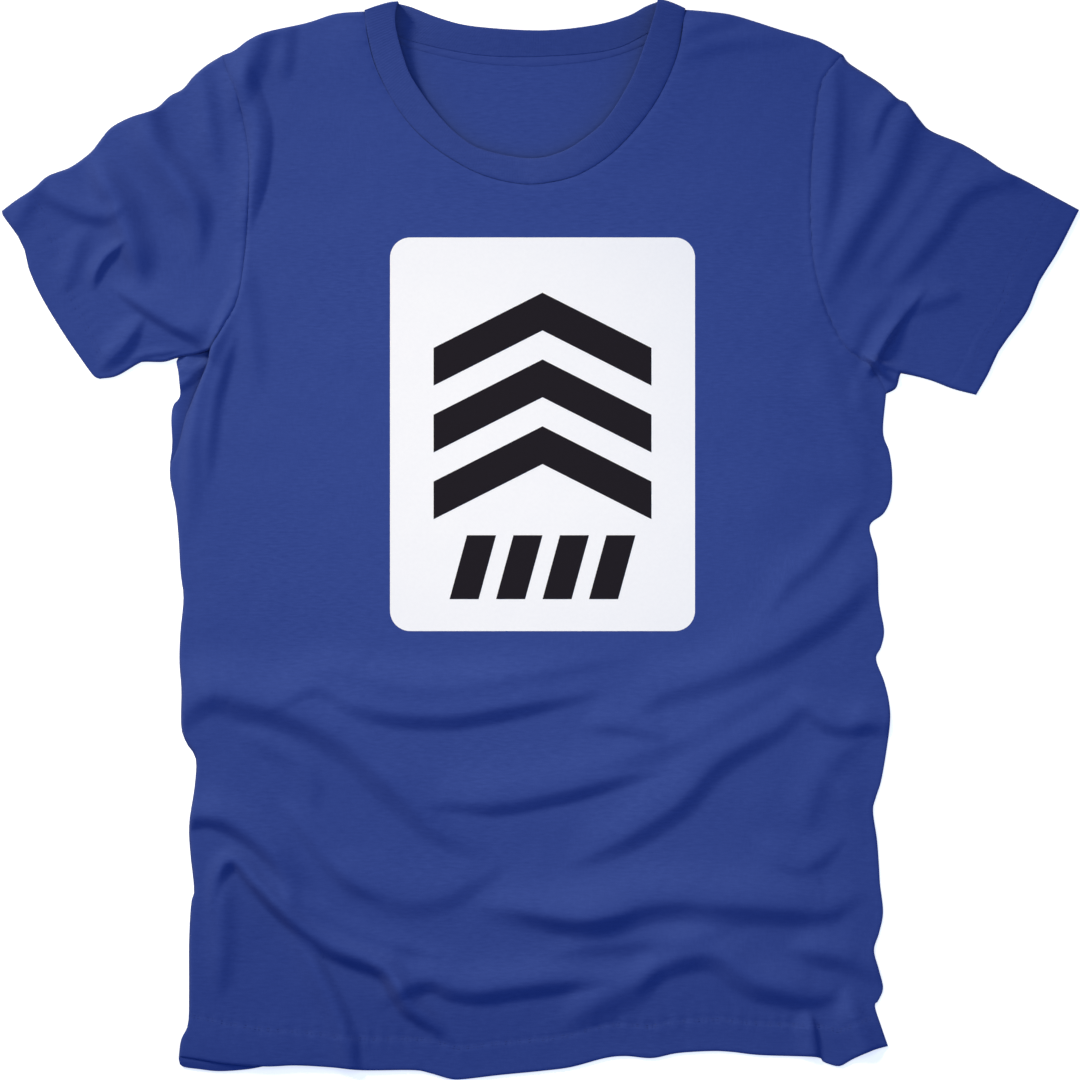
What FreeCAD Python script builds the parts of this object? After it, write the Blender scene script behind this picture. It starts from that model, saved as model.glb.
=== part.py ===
import FreeCAD, Part
import Sketcher
import math
import os

# A crew-neck T-shirt laid flat on a table, front up, collar towards +Y.
# The cloth pieces are the ones a cutter would lay out: a front, a back, two sleeves,
# a ring of rib for the neck and a tape over the back neck seam, with a print on the chest.
# Lengths are in millimetres.

document = FreeCAD.newDocument("tee_shirt")
sheet = document.addObject("Spreadsheet::Sheet", "Sizes")

SIZES = (
    ("cloth_thickness", 0.8),
    ("rib_thickness", 1.2),
    ("layer_air", 1.5),
    ("chest_width", 487.0),
    ("hem_width", 490.0),
    ("body_length", 720.0),
    ("shoulder_width", 427.0),
    ("shoulder_drop", 31.5),
    ("armpit_drop", 265.0),
    ("sleeve_length", 191.0),
    ("sleeve_angle", 34.3),
    ("cuff_width", 139.5),
    ("cuff_angle", 60.2),
    ("underarm_rise", 19.5),
    ("underarm_out", 7.0),
    ("neck_width", 219.0),
    ("front_neck_drop", 117.0),
    ("back_neck_drop", 30.0),
    ("neck_lift", 4.0),
    ("neck_shift", 10.5),
    ("band_width", 19.0),
    ("band_fold_length", 22.4),
    ("band_fold_angle", 24.0),
    ("tape_width", 8.0),
    ("tape_thickness", 0.5),
    ("hem_depth", 22.0),
    ("cuff_hem_depth", 20.0),
    ("seam_allowance", 7.0),
    ("print_width", 210.0),
    ("print_height", 271.0),
    ("print_corner", 14.0),
    ("print_drop", 293.0),
    ("ink_thickness", 0.15),
    ("chevron_width", 150.0),
    ("chevron_rise", 38.0),
    ("chevron_stroke", 26.0),
    ("chevron_pitch", 46.0),
    ("bar_width", 20.0),
    ("bar_height", 44.0),
    ("bar_slant", 12.0),
    ("bar_pitch", 32.0),
)
for row, (alias, value) in enumerate(SIZES, 1):
    sheet.set("A%d" % row, alias.replace("_", " "))
    sheet.set("B%d" % row, str(value))
    sheet.setAlias("B%d" % row, alias)
document.recompute()


def size(alias):
    return float(sheet.get(alias))


CLOTH = size("cloth_thickness")
RIB = size("rib_thickness")
FRONT_LEVEL = CLOTH + size("layer_air")

# How many stretches of cloth each edge is laid out in.
SHOULDER_CELLS = 8
NECK_CELLS = 20
ARMHOLE_CELLS = 14
LOWER_CELLS = 26
UPPER_CELLS = 5
SLEEVE_CELLS = 11
BACK_NECK_CELLS = 12


# The flat pattern

# The corners of the pattern are the same on both sides. The shirt was laid down by hand,
# so each corner lies a few millimetres off its place, and LAID holds those shifts.
NECK_HEIGHT = size("body_length") / 2
CUFF_RADIANS = math.radians(size("cuff_angle"))
SLEEVE_RADIANS = math.radians(size("sleeve_angle"))

LAID = {
    ("shoulder", -1): (-4.5, 0.0),
    ("shoulder", 1): (-4.5, 0.0),
    ("cuff_top", -1): (0.0, 0.0),
    ("cuff_top", 1): (0.5, 0.5),
    ("cuff_low", -1): (-1.0, 5.5),
    ("cuff_low", 1): (-1.0, -5.5),
    ("underarm", -1): (0.5, 6.0),
    ("underarm", 1): (0.5, -6.0),
    ("armpit", -1): (-4.5, -0.5),
    ("armpit", 1): (-4.5, 0.5),
    ("hem", -1): (-5.0, -4.5),
    ("hem", 1): (-5.0, 4.5),
}


def corner(name, side):
    shoulder_x = size("shoulder_width") / 2
    shoulder_y = NECK_HEIGHT - size("shoulder_drop")
    cuff_x = shoulder_x + size("sleeve_length") * math.cos(SLEEVE_RADIANS)
    cuff_y = shoulder_y - size("sleeve_length") * math.sin(SLEEVE_RADIANS)
    armpit_x = size("chest_width") / 2
    armpit_y = NECK_HEIGHT - size("armpit_drop")
    places = {
        "shoulder": (shoulder_x, shoulder_y),
        "cuff_top": (cuff_x, cuff_y),
        "cuff_low": (
            cuff_x - size("cuff_width") * math.cos(CUFF_RADIANS),
            cuff_y - size("cuff_width") * math.sin(CUFF_RADIANS),
        ),
        "armpit": (armpit_x, armpit_y),
        "underarm": (
            armpit_x + size("underarm_out"),
            armpit_y + size("underarm_rise"),
        ),
        "hem": (size("hem_width") / 2, NECK_HEIGHT - size("body_length")),
    }
    x, y = places[name]
    shift_x, shift_y = LAID[(name, side)]
    return FreeCAD.Vector(side * x + shift_x, y + shift_y, 0)


def neck_curve(half_width, top, depth, cells):
    # A scooped neckline: half an ellipse, a little fuller at the sides.
    fullness = 1.12
    points = []
    for step in range(cells + 1):
        turn = math.pi * step / cells
        x = -size("neck_shift") - half_width * math.cos(turn)
        y = top - depth * abs(math.sin(turn)) ** fullness
        points.append(FreeCAD.Vector(x, y, 0))
    return points


FOLD_IN = size("band_fold_length") * math.cos(math.radians(size("band_fold_angle")))
FOLD_UP = size("band_fold_length") * math.sin(math.radians(size("band_fold_angle")))
HALF_NECK = size("neck_width") / 2
FREE_HALF_NECK = HALF_NECK - FOLD_IN
FREE_TOP = NECK_HEIGHT + FOLD_UP

front_seam = neck_curve(HALF_NECK, NECK_HEIGHT, size("front_neck_drop"), NECK_CELLS)
front_free = neck_curve(
    FREE_HALF_NECK, FREE_TOP, size("front_neck_drop") + FOLD_UP - size("band_width"), NECK_CELLS
)
back_seam = neck_curve(HALF_NECK, NECK_HEIGHT, size("back_neck_drop"), BACK_NECK_CELLS)
back_free = neck_curve(
    FREE_HALF_NECK, FREE_TOP, size("back_neck_drop") + FOLD_UP - size("band_width"), BACK_NECK_CELLS
)


# How far each cut edge lies off the straight line between its corners, as
# (share of the way, millimetres to the left of the way).
RIPPLES = {
    ("shoulder", -1): ((0.2, -4), (0.5, -5), (0.75, -6)),
    ("shoulder", 1): ((0.2, 4), (0.5, 5), (0.8, 5)),
    ("armhole", -1): ((0.09, 10), (0.23, 24), (0.42, 31), (0.58, 33), (0.76, 27), (0.91, 14)),
    ("armhole", 1): ((0.07, -14), (0.17, -23), (0.32, -31), (0.57, -39), (0.76, -33), (0.89, -16)),
    ("side", -1): (
        (0.04, -6), (0.11, -7), (0.22, -1), (0.3, 3), (0.41, 0), (0.49, 2), (0.55, 12),
        (0.64, 8), (0.74, 11), (0.87, 8), (0.94, 6),
    ),
    ("side", 1): (
        (0.06, -2), (0.13, 4), (0.2, -12), (0.29, -5), (0.36, -2), (0.42, -7), (0.49, 2),
        (0.56, -1), (0.64, -10), (0.74, -6), (0.79, -3), (0.85, -10), (0.94, -8),
    ),
    ("sleeve_top", -1): ((0.2, 3), (0.32, 3), (0.48, -3), (0.62, 3), (0.78, -2)),
    ("sleeve_top", 1): ((0.15, -2), (0.28, -3), (0.4, -10), (0.53, -6), (0.7, -6), (0.85, -3)),
    ("cuff", -1): ((0.26, 0), (0.44, -6), (0.7, -5), (0.93, -4)),
    ("cuff", 1): ((0.3, -1), (0.55, 2), (0.75, -1)),
    ("underarm", -1): ((0.25, 0), (0.5, -4), (0.8, 1)),
    ("underarm", 1): ((0.3, 1), (0.7, -1)),
    ("hem", 0): (
        (0.06, -8), (0.17, -5), (0.26, -10), (0.38, -16), (0.45, -15), (0.55, -10),
        (0.63, -3), (0.72, -2), (0.8, -2), (0.92, -12),
    ),
    ("back_hem", 0): (
        (0.05, -11), (0.17, -9), (0.26, -12), (0.38, -16), (0.45, -15), (0.55, -10),
        (0.63, -5), (0.72, -4), (0.8, -5), (0.92, -13),
    ),
}


def laid_edge(name, side, start, end):
    # A cut edge as it lies, in a smooth curve through its ripples.
    way = end - start
    left = FreeCAD.Vector(-way.y, way.x, 0).normalize()
    points = [start]
    for share, offset in RIPPLES[(name, side)]:
        points.append(start + way * share + left * offset)
    points.append(end)
    curve = Part.BSplineCurve()
    curve.interpolate(points)
    return curve.toShape()


def points_along(edge, shares):
    return [edge.valueAt(edge.getParameterByLength(share * edge.Length)) for share in shares]


def even_shares(cells):
    return [step / cells for step in range(cells + 1)]


# Folds

# A fold is a rounded ridge of cloth. Its line is read from the photograph as pixels along
# its shaded side; the crest lies up and to the left of that. The pixels are fitted to the
# shirt's own width and length, so the folds keep their places when a size changes.
PIXEL_MIDDLE = 533.0
PIXEL_CHEST = 706.0
PIXEL_NECK = 10.0
PIXEL_HEM = 1053.0
CREST_ACROSS = -5.0
CREST_UP = -11.0
BODY_SHIFT = -4.5
FOLD_SAMPLES = 24
END_HEIGHT = 0.45
END_SLOPE = 2.2
OVERLAP_SHARE = 0.3


def from_pixels(across, down):
    x = (across + CREST_ACROSS - PIXEL_MIDDLE) * size("chest_width") / PIXEL_CHEST
    share = (down + CREST_UP - PIXEL_NECK) / (PIXEL_HEM - PIXEL_NECK)
    return FreeCAD.Vector(x + BODY_SHIFT, NECK_HEIGHT - share * size("body_length"), 0)


BODY_FOLDS = (
    (6.0, 13, ((296, 695), (354, 707), (422, 719), (519, 711), (588, 691))),
    (7.0, 13, ((185, 722), (228, 705), (289, 734), (362, 765), (410, 807), (471, 855))),
    (4.0, 13, ((422, 807), (495, 807), (568, 793), (665, 771))),
    (4.0, 14, ((284, 821), (325, 862), (386, 896), (459, 891))),
    (7.0, 13, ((228, 862), (265, 906), (308, 947), (362, 967), (398, 979))),
    (4.0, 13, ((296, 933), (345, 991), (357, 1050))),
    (6.0, 13, ((393, 996), (430, 984), (519, 989), (602, 982))),
    (4.0, 13, ((192, 819), (241, 833), (287, 877))),
    (7.0, 13, ((874, 589), (823, 638), (750, 671), (665, 701), (629, 725))),
    (4.0, 14, ((593, 764), (665, 749), (726, 717), (787, 691))),
    (7.0, 13, ((806, 715), (738, 751), (694, 785), (629, 834), (598, 853))),
    (4.0, 13, ((806, 715), (847, 730), (883, 734))),
    (4.0, 13, ((859, 759), (825, 802), (871, 846))),
    (4.0, 13, ((750, 829), (782, 865), (830, 856))),
    (6.0, 13, ((593, 931), (690, 907), (787, 911), (859, 894))),
    (3.0, 14, ((589, 956), (679, 944), (742, 926))),
    (7.0, 13, ((658, 982), (699, 964), (735, 977), (793, 997), (832, 995))),
    (4.0, 13, ((806, 959), (844, 964), (880, 982))),
    (3.0, 13, ((816, 565), (794, 587), (774, 606))),
    (3.0, 13, ((263, 42), (251, 73), (244, 100))),
    (3.0, 14, ((265, 100), (263, 153), (256, 190))),
    (2.5, 15, ((256, 250), (256, 311), (265, 340))),
    (4.0, 13, ((238, 322), (230, 372), (226, 430))),
    (2.5, 13, ((714, 55), (746, 49), (792, 49))),
)
SLEEVE_FOLDS = {
    -1: (
        (6.0, 12, ((153, 112), (172, 165), (199, 215), (205, 250))),
        (4.0, 12, ((137, 207), (149, 240), (157, 263))),
        (3.0, 12, ((46, 192), (63, 207), (111, 220))),
        (4.0, 12, ((115, 297), (153, 320), (208, 349))),
        (3.0, 12, ((119, 253), (103, 270), (96, 287))),
    ),
    1: (
        (4.0, 12, ((836, 86), (833, 148), (825, 244))),
        (6.0, 13, ((920, 130), (884, 199), (836, 290))),
        (4.0, 12, ((1019, 183), (958, 209), (915, 270))),
        (5.0, 12, ((917, 298), (897, 326), (880, 358))),
    ),
}


def fold_lines(folds):
    lines = []
    for height, half_width, pixels in folds:
        curve = Part.BSplineCurve()
        curve.interpolate([from_pixels(across, down) for across, down in pixels])
        lines.append((height, half_width, curve.toShape().discretize(Number=FOLD_SAMPLES)))
    return lines


def fold_height(lines, place):
    # Ridges blend by taking the larger, with a little of the smaller, as cloth does.
    tallest = 0.0
    rest = 0.0
    for height, half_width, line in lines:
        nearest = min(range(len(line)), key=lambda k: line[k].distanceToPoint(place))
        distance = line[nearest].distanceToPoint(place)
        along = nearest / (len(line) - 1)
        taper = min(1.0, END_HEIGHT + END_SLOPE * min(along, 1 - along))
        rise = height * taper * math.exp(-((distance / half_width) ** 2))
        rest += min(rise, tallest)
        tallest = max(rise, tallest)
    return tallest + OVERLAP_SHARE * rest


# Cloth made of small flat facets

def facets_between(outer, inner, closed_rows=False, closed_columns=False):
    # outer and inner are grids of points on the two faces of a piece of cloth.
    rows = len(outer)
    columns = len(outer[0])
    points = []
    for grid in (outer, inner):
        for line in grid:
            points.extend(line)
    facets = []

    def index(layer, row, column):
        return layer * rows * columns + (row % rows) * columns + column % columns

    def quad(a, b, c, d):
        # The shorter diagonal in height follows the line of a fold.
        if abs(points[a].z - points[c].z) <= abs(points[b].z - points[d].z):
            facets.append((a, b, c))
            facets.append((a, c, d))
        else:
            facets.append((a, b, d))
            facets.append((b, c, d))

    last_row = rows if closed_rows else rows - 1
    last_column = columns if closed_columns else columns - 1
    for row in range(last_row):
        for column in range(last_column):
            quad(
                index(0, row, column), index(0, row, column + 1),
                index(0, row + 1, column + 1), index(0, row + 1, column),
            )
            quad(
                index(1, row + 1, column), index(1, row + 1, column + 1),
                index(1, row, column + 1), index(1, row, column),
            )
    if not closed_rows:
        for column in range(last_column):
            quad(
                index(1, 0, column), index(1, 0, column + 1),
                index(0, 0, column + 1), index(0, 0, column),
            )
            quad(
                index(0, rows - 1, column), index(0, rows - 1, column + 1),
                index(1, rows - 1, column + 1), index(1, rows - 1, column),
            )
    if not closed_columns:
        for row in range(last_row):
            quad(
                index(0, row, 0), index(0, row + 1, 0),
                index(1, row + 1, 0), index(1, row, 0),
            )
            quad(
                index(1, row, columns - 1), index(1, row + 1, columns - 1),
                index(0, row + 1, columns - 1), index(0, row, columns - 1),
            )
    skin = Part.Shape()
    skin.makeShapeFromMesh((points, facets), 0.001)
    solid = Part.makeSolid(Part.makeShell(skin.Faces)).removeSplitter()
    if solid.Volume < 0:
        solid.reverse()
    return solid


def at_height(point, height):
    return FreeCAD.Vector(point.x, point.y, height)


def add_piece(label, shape):
    piece = document.addObject("Part::Feature", label)
    piece.Label = label
    piece.Shape = shape
    return piece


# The edges of the laid pieces

BODY_SIDE = size("body_length") - size("armpit_drop")
HEM_STEP = 1.0
HEM_CALM = 0.6
DENSE_SHARE = 0.72


def side_shares():
    # A row at the hem stitching and one just past it, close rows where the body is folded,
    # and wide ones up to the armpit.
    hem_share = size("hem_depth") / BODY_SIDE
    first = hem_share + HEM_STEP / BODY_SIDE
    shares = [0.0, hem_share]
    for step in range(LOWER_CELLS + 1):
        shares.append(first + (DENSE_SHARE - first) * step / LOWER_CELLS)
    for step in range(1, UPPER_CELLS + 1):
        shares.append(DENSE_SHARE + (1 - DENSE_SHARE) * step / UPPER_CELLS)
    return shares


SIDE_SHARES = side_shares()
SIDE_ROWS = len(SIDE_SHARES)
NECK_POINTS = {-1: front_seam[0], 1: front_seam[-1]}
ARMHOLES = {}
SIDES = {}
SHOULDERS = {}
for side in (-1, 1):
    armhole = laid_edge("armhole", side, corner("shoulder", side), corner("armpit", side))
    ARMHOLES[side] = points_along(armhole, even_shares(ARMHOLE_CELLS))
    seam = laid_edge("side", side, corner("armpit", side), corner("hem", side))
    SIDES[side] = points_along(seam, [1 - share for share in SIDE_SHARES])
    shoulder = laid_edge("shoulder", side, NECK_POINTS[side], corner("shoulder", side))
    seam_share = 1 - size("seam_allowance") / shoulder.Length
    shares = [seam_share * share for share in even_shares(SHOULDER_CELLS)] + [1.0]
    SHOULDERS[side] = points_along(shoulder, shares)


def hem_shares():
    # The columns of cloth run straight up from the hem to the shoulders and the neck.
    seam_share = size("seam_allowance") / size("hem_width")
    start = corner("hem", -1).x
    reach = corner("hem", 1).x - start
    neck_columns = [(point.x - start) / reach for point in front_seam]
    neck_left = neck_columns[0]
    neck_right = neck_columns[-1]
    shares = [0.0]
    for step in range(SHOULDER_CELLS):
        shares.append(seam_share + (neck_left - seam_share) * step / SHOULDER_CELLS)
    shares += neck_columns
    for step in range(1, SHOULDER_CELLS + 1):
        shares.append(neck_right + (1 - seam_share - neck_right) * step / SHOULDER_CELLS)
    shares.append(1.0)
    return shares


HEM_SHARES = hem_shares()
hem_edge = laid_edge("hem", 0, corner("hem", -1), corner("hem", 1))
FRONT_HEM = points_along(hem_edge, HEM_SHARES)
back_hem_edge = laid_edge("back_hem", 0, corner("hem", -1), corner("hem", 1))
BACK_HEM = points_along(back_hem_edge, HEM_SHARES)


# The front

BODY_FOLD_LINES = fold_lines(BODY_FOLDS)
FLAT_MARGIN = 20.0
FLAT_BLEND = 24.0
LIFT_SPREAD = 20.0
PRINT_SHIFT = 1.7
PRINT_MIDDLE = FreeCAD.Vector(PRINT_SHIFT, NECK_HEIGHT - size("print_drop"), 0)


def off_the_print(place):
    # 0 where the printed chest lies flat, 1 well outside it.
    gap_x = abs(place.x - PRINT_MIDDLE.x) - size("print_width") / 2
    gap_y = abs(place.y - PRINT_MIDDLE.y) - size("print_height") / 2
    gap = math.hypot(max(gap_x, 0), max(gap_y, 0))
    share = min(1.0, max(0.0, (gap - FLAT_MARGIN) / FLAT_BLEND))
    return share * share * (3 - 2 * share)


def neck_rise(turn):
    # The front of the neck stands a little off the table, most in the middle.
    return size("neck_lift") * math.sin(math.pi * turn) ** 0.7


def front_planform():
    # A sheet stretched between its four laid edges. The curves of the side seams and the
    # armholes die out before the neck.
    left = SIDES[-1] + ARMHOLES[-1][-2::-1]
    right = SIDES[1] + ARMHOLES[1][-2::-1]
    top = SHOULDERS[-1][:0:-1] + front_seam + SHOULDERS[1][1:]
    bottom = FRONT_HEM
    reach = corner("shoulder", -1).y - corner("hem", -1).y
    left_reach = HEM_SHARES[SHOULDER_CELLS + 1]
    right_reach = 1 - HEM_SHARES[-SHOULDER_CELLS - 2]
    rows = []
    for row in range(len(left)):
        up = (left[row].y - left[0].y) / reach
        left_bend = left[row] - left[0] * (1 - up) - left[-1] * up
        right_bend = right[row] - right[0] * (1 - up) - right[-1] * up
        line = []
        for column in range(len(top)):
            across = HEM_SHARES[column]
            level = bottom[column] * (1 - up) + top[column] * up
            near_left = max(0.0, 1 - across / left_reach)
            near_right = max(0.0, 1 - (1 - across) / right_reach)
            line.append(level + left_bend * near_left + right_bend * near_right)
        rows.append(line)
    return rows


def make_front():
    plan = front_planform()
    last_row = len(plan) - 1
    last_column = len(plan[0]) - 1
    neck_start = SHOULDER_CELLS + 1
    outer = []
    inner = []
    for row, line in enumerate(plan):
        outer_line = []
        inner_line = []
        for column, place in enumerate(line):
            rise = off_the_print(place) * fold_height(BODY_FOLD_LINES, place)
            neck_column = min(max(column - neck_start, 0), NECK_CELLS)
            rim = front_seam[neck_column]
            spread = math.exp(-((place.distanceToPoint(rim) / LIFT_SPREAD) ** 2))
            rise += neck_rise(neck_column / NECK_CELLS) * spread * off_the_print(place)
            from_side = min(column, last_column - column)
            on_side_seam = row < SIDE_ROWS and from_side <= 1
            over_shoulder = column <= neck_start or column >= last_column - neck_start
            on_shoulder_seam = over_shoulder and row >= last_row - 1
            settle = 1.0
            if on_side_seam or on_shoulder_seam:
                settle = 0.0
            elif from_side == 0:
                rise = 0.0
            elif row < 3:
                rise *= HEM_CALM
            height = CLOTH + settle * (size("layer_air") + rise)
            thickness = CLOTH
            if row < 2 and not on_side_seam:
                thickness = 2 * CLOTH
            inner_line.append(at_height(place, height))
            outer_line.append(at_height(place, height + thickness))
        outer.append(outer_line)
        inner.append(inner_line)
    return facets_between(outer, inner)


add_piece("front_panel", make_front())


# The back

def prism(points, low, high):
    wire = Part.makePolygon([at_height(point, low) for point in points + points[:1]])
    return Part.Face(wire).extrude(FreeCAD.Vector(0, 0, high - low))


def make_back():
    # The back lies flat on the table, its hem turned up on the inside.
    outline = BACK_HEM + SIDES[1][1:] + ARMHOLES[1][-2::-1] + SHOULDERS[1][-2::-1]
    outline += back_seam[-2::-1] + SHOULDERS[-1][1:] + ARMHOLES[-1][1:] + SIDES[-1][-2:0:-1]
    turned = BACK_HEM[2:-2]
    depth = FreeCAD.Vector(0, size("hem_depth"), 0)
    hem = turned + [point + depth for point in reversed(turned)]
    return prism(outline, 0, CLOTH).fuse(prism(hem, CLOTH, 2 * CLOTH)).removeSplitter()


add_piece("back_panel", make_back())


# The sleeves

def make_sleeve(side):
    # One piece of cloth, folded along the top and seamed under the arm, laid flat as a tube.
    top_edge = laid_edge("sleeve_top", side, corner("shoulder", side), corner("cuff_top", side))
    under_edge = laid_edge("underarm", side, corner("underarm", side), corner("cuff_low", side))
    cuff_edge = laid_edge("cuff", side, corner("cuff_top", side), corner("cuff_low", side))
    hem_share = 1 - size("cuff_hem_depth") / size("sleeve_length")
    shares = [hem_share * share for share in even_shares(SLEEVE_CELLS)]
    shares += [hem_share + HEM_STEP / size("sleeve_length"), 1.0]
    top = points_along(top_edge, shares)
    armhole = ARMHOLES[side]
    cuff = points_along(cuff_edge, even_shares(ARMHOLE_CELLS))
    gusset_cells = 2
    armpit = corner("armpit", side)
    underarm = corner("underarm", side)
    under = [armpit + (underarm - armpit) * (step / gusset_cells) for step in range(gusset_cells)]
    start = shares[gusset_cells]
    under += points_along(
        under_edge, [(share - start) / (1 - start) for share in shares[gusset_cells:]]
    )
    lines = fold_lines(SLEEVE_FOLDS[side])
    outer = []
    inner = []
    for row, share in enumerate(shares):
        upper = []
        for column in range(ARMHOLE_CELLS + 1):
            across = column / ARMHOLE_CELLS
            ends = armhole[column] * (1 - share) + cuff[column] * share
            edges = top[row] * (1 - across) + under[row] * across
            near = armhole[0] * (1 - across) + armhole[-1] * across
            far = cuff[0] * (1 - across) + cuff[-1] * across
            upper.append(ends + edges - near * (1 - share) - far * share)
        thickness = CLOTH
        if row >= len(shares) - 2:
            thickness = 2 * CLOTH
        outer_loop = []
        inner_loop = []
        for column, place in enumerate(upper):
            away = min(column, ARMHOLE_CELLS - column, row, 2) / 2
            rise = fold_height(lines, place) * away
            if row >= len(shares) - 3:
                rise *= HEM_CALM
            outer_loop.append(at_height(place, FRONT_LEVEL + rise + thickness))
            inner_loop.append(at_height(place, FRONT_LEVEL + rise))
        across_way = (upper[-1] - upper[0]).normalize() * CLOTH
        inner_plan = [upper[0] + across_way] + upper[1:-1] + [upper[-1] - across_way]
        inner_loop[0] = at_height(inner_plan[0], inner_loop[0].z)
        inner_loop[-1] = at_height(inner_plan[-1], inner_loop[-1].z)
        for column in range(ARMHOLE_CELLS, -1, -1):
            outer_loop.append(at_height(upper[column], 0))
            inner_loop.append(at_height(inner_plan[column], CLOTH))
        outer.append(outer_loop)
        inner.append(inner_loop)
    return facets_between(outer, inner, closed_columns=True)


add_piece("left_sleeve", make_sleeve(-1))
add_piece("right_sleeve", make_sleeve(1))


# The neck

PEAK_GAP = 0.3
BAND_CROWN = 0.25


def band_level(turn):
    # The inside of the front of the band, level with the front it is sewn to.
    at_peak = RIB + PEAK_GAP
    share = min(1.0, 4 * min(turn, 1 - turn))
    full = FRONT_LEVEL + neck_rise(turn) - (RIB - CLOTH) / 2
    return at_peak + (full - at_peak) * share


def make_neckband():
    # A ring of doubled rib. Its front is the upper layer and its back the lower one, and
    # it folds over between them at the two neck points.
    outer = []
    inner = []

    def add_station(seam, free, outside, inside, inset=None):
        shift = inset or FreeCAD.Vector(0, 0, 0)
        middle = (seam + free) / 2
        crown = BAND_CROWN if outside > inside else 0.0
        outer.append([
            at_height(seam, outside), at_height(middle, outside + crown), at_height(free, outside),
        ])
        inner.append([
            at_height(seam + shift, inside), at_height(middle + shift, inside),
            at_height(free + shift, inside),
        ])

    # Where the rib folds over, its inside lies one thickness back along the seam.
    folds = {
        0: (back_seam[1] - back_seam[0]).normalize() * RIB,
        1: (back_seam[-2] - back_seam[-1]).normalize() * RIB,
    }
    for step in range(NECK_CELLS + 1):
        turn = step / NECK_CELLS
        level = band_level(turn)
        add_station(front_seam[step], front_free[step], level + RIB, level, folds.get(turn))
    for step in range(BACK_NECK_CELLS, -1, -1):
        turn = step / BACK_NECK_CELLS
        add_station(back_seam[step], back_free[step], 0.0, RIB, folds.get(turn))
    return facets_between(outer, inner, closed_rows=True)


add_piece("neckband", make_neckband())


def make_tape():
    # A narrow tape over the back neck seam, on the inside of the back.
    trim = 1
    seam = back_seam[trim:-trim]
    tape = FreeCAD.Vector(0, -size("tape_width"), 0)
    outline = seam + [point + tape for point in reversed(seam)]
    return prism(outline, CLOTH, CLOTH + size("tape_thickness"))


add_piece("neck_tape", make_tape())


# The print

# Ink is printed on the flat chest: a pale panel with rounded corners, and on it a stack of
# dark chevrons over a row of slanted bars.
CHEVRONS = 3
BARS = 4
PRINT_LEVEL = FRONT_LEVEL + CLOTH


def bind_loop(sketch, corners):
    # Draws a closed loop and ties every corner to the sizes by its two formulas.
    first = sketch.GeometryCount
    count = len(corners)
    seeds = [FreeCAD.Vector(math.cos(k), math.sin(k), 0) * 10 for k in range(count)]
    for k in range(count):
        sketch.addGeometry(Part.LineSegment(seeds[k], seeds[(k + 1) % count]), False)
    for k in range(count):
        sketch.addConstraint(
            Sketcher.Constraint("Coincident", first + k, 2, first + (k + 1) % count, 1)
        )
    for k, (across, up) in enumerate(corners):
        for kind, formula in (("DistanceX", across), ("DistanceY", up)):
            place = sketch.addConstraint(Sketcher.Constraint(kind, -1, 1, first + k, 1, 1.0))
            sketch.setExpression("Constraints[%d]" % place, formula)


def origin_plane(body):
    for feature in body.Origin.OriginFeatures:
        if feature.Role == "XY_Plane":
            return feature


def make_print_panel():
    body = document.addObject("PartDesign::Body", "print_panel")
    body.Label = "print_panel"
    sketch = body.newObject("Sketcher::SketchObject", "print_outline")
    sketch.AttachmentSupport = (origin_plane(body), [""])
    sketch.MapMode = "FlatFace"
    bind_loop(sketch, [
        ("-Sizes.print_width / 2", "-Sizes.print_height / 2"),
        ("Sizes.print_width / 2", "-Sizes.print_height / 2"),
        ("Sizes.print_width / 2", "Sizes.print_height / 2"),
        ("-Sizes.print_width / 2", "Sizes.print_height / 2"),
    ])
    pad = body.newObject("PartDesign::Pad", "print_ink")
    pad.Profile = sketch
    pad.setExpression("Length", "Sizes.ink_thickness")
    document.recompute()
    upright = []
    for number, edge in enumerate(pad.Shape.Edges, 1):
        if abs(edge.Vertexes[0].Z - edge.Vertexes[-1].Z) > size("ink_thickness") / 2:
            upright.append("Edge%d" % number)
    fillet = body.newObject("PartDesign::Fillet", "print_corners")
    fillet.Base = (pad, upright)
    fillet.setExpression("Radius", "Sizes.print_corner")
    body.Tip = fillet
    body.Placement.Base = at_height(PRINT_MIDDLE, PRINT_LEVEL)


def make_print_motifs():
    sketch = document.addObject("Sketcher::SketchObject", "motif_outline")
    half = "Sizes.chevron_width / 2"
    peak = "Sizes.chevron_rise"
    stroke = "Sizes.chevron_stroke"
    top = "Sizes.print_height / 2 - 2 * Sizes.chevron_rise"
    for number in range(CHEVRONS):
        base = "%s - %d * Sizes.chevron_pitch" % (top, number)
        bind_loop(sketch, [
            ("-" + half, base),
            ("-" + half, base + " - " + stroke),
            ("0 mm", base + " + " + peak + " - " + stroke),
            (half, base + " - " + stroke),
            (half, base),
            ("0 mm", base + " + " + peak),
        ])
    low = "-Sizes.print_height / 2 + Sizes.bar_height / 2"
    high = low + " + Sizes.bar_height"
    for number in range(BARS):
        left = "(%d - %d) * Sizes.bar_pitch" % (number, BARS // 2)
        bind_loop(sketch, [
            (left, low),
            (left + " + Sizes.bar_width", low),
            (left + " + Sizes.bar_width + Sizes.bar_slant", high),
            (left + " + Sizes.bar_slant", high),
        ])
    document.recompute()
    ink = document.addObject("Part::Extrusion", "print_motifs")
    ink.Label = "print_motifs"
    ink.Base = sketch
    ink.DirMode = "Custom"
    ink.Dir = FreeCAD.Vector(0, 0, 1)
    ink.Solid = True
    ink.setExpression("LengthFwd", "Sizes.ink_thickness")
    ink.Placement.Base = at_height(PRINT_MIDDLE, PRINT_LEVEL + size("ink_thickness"))


make_print_panel()
make_print_motifs()
document.recompute()


# The finished shirt

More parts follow.
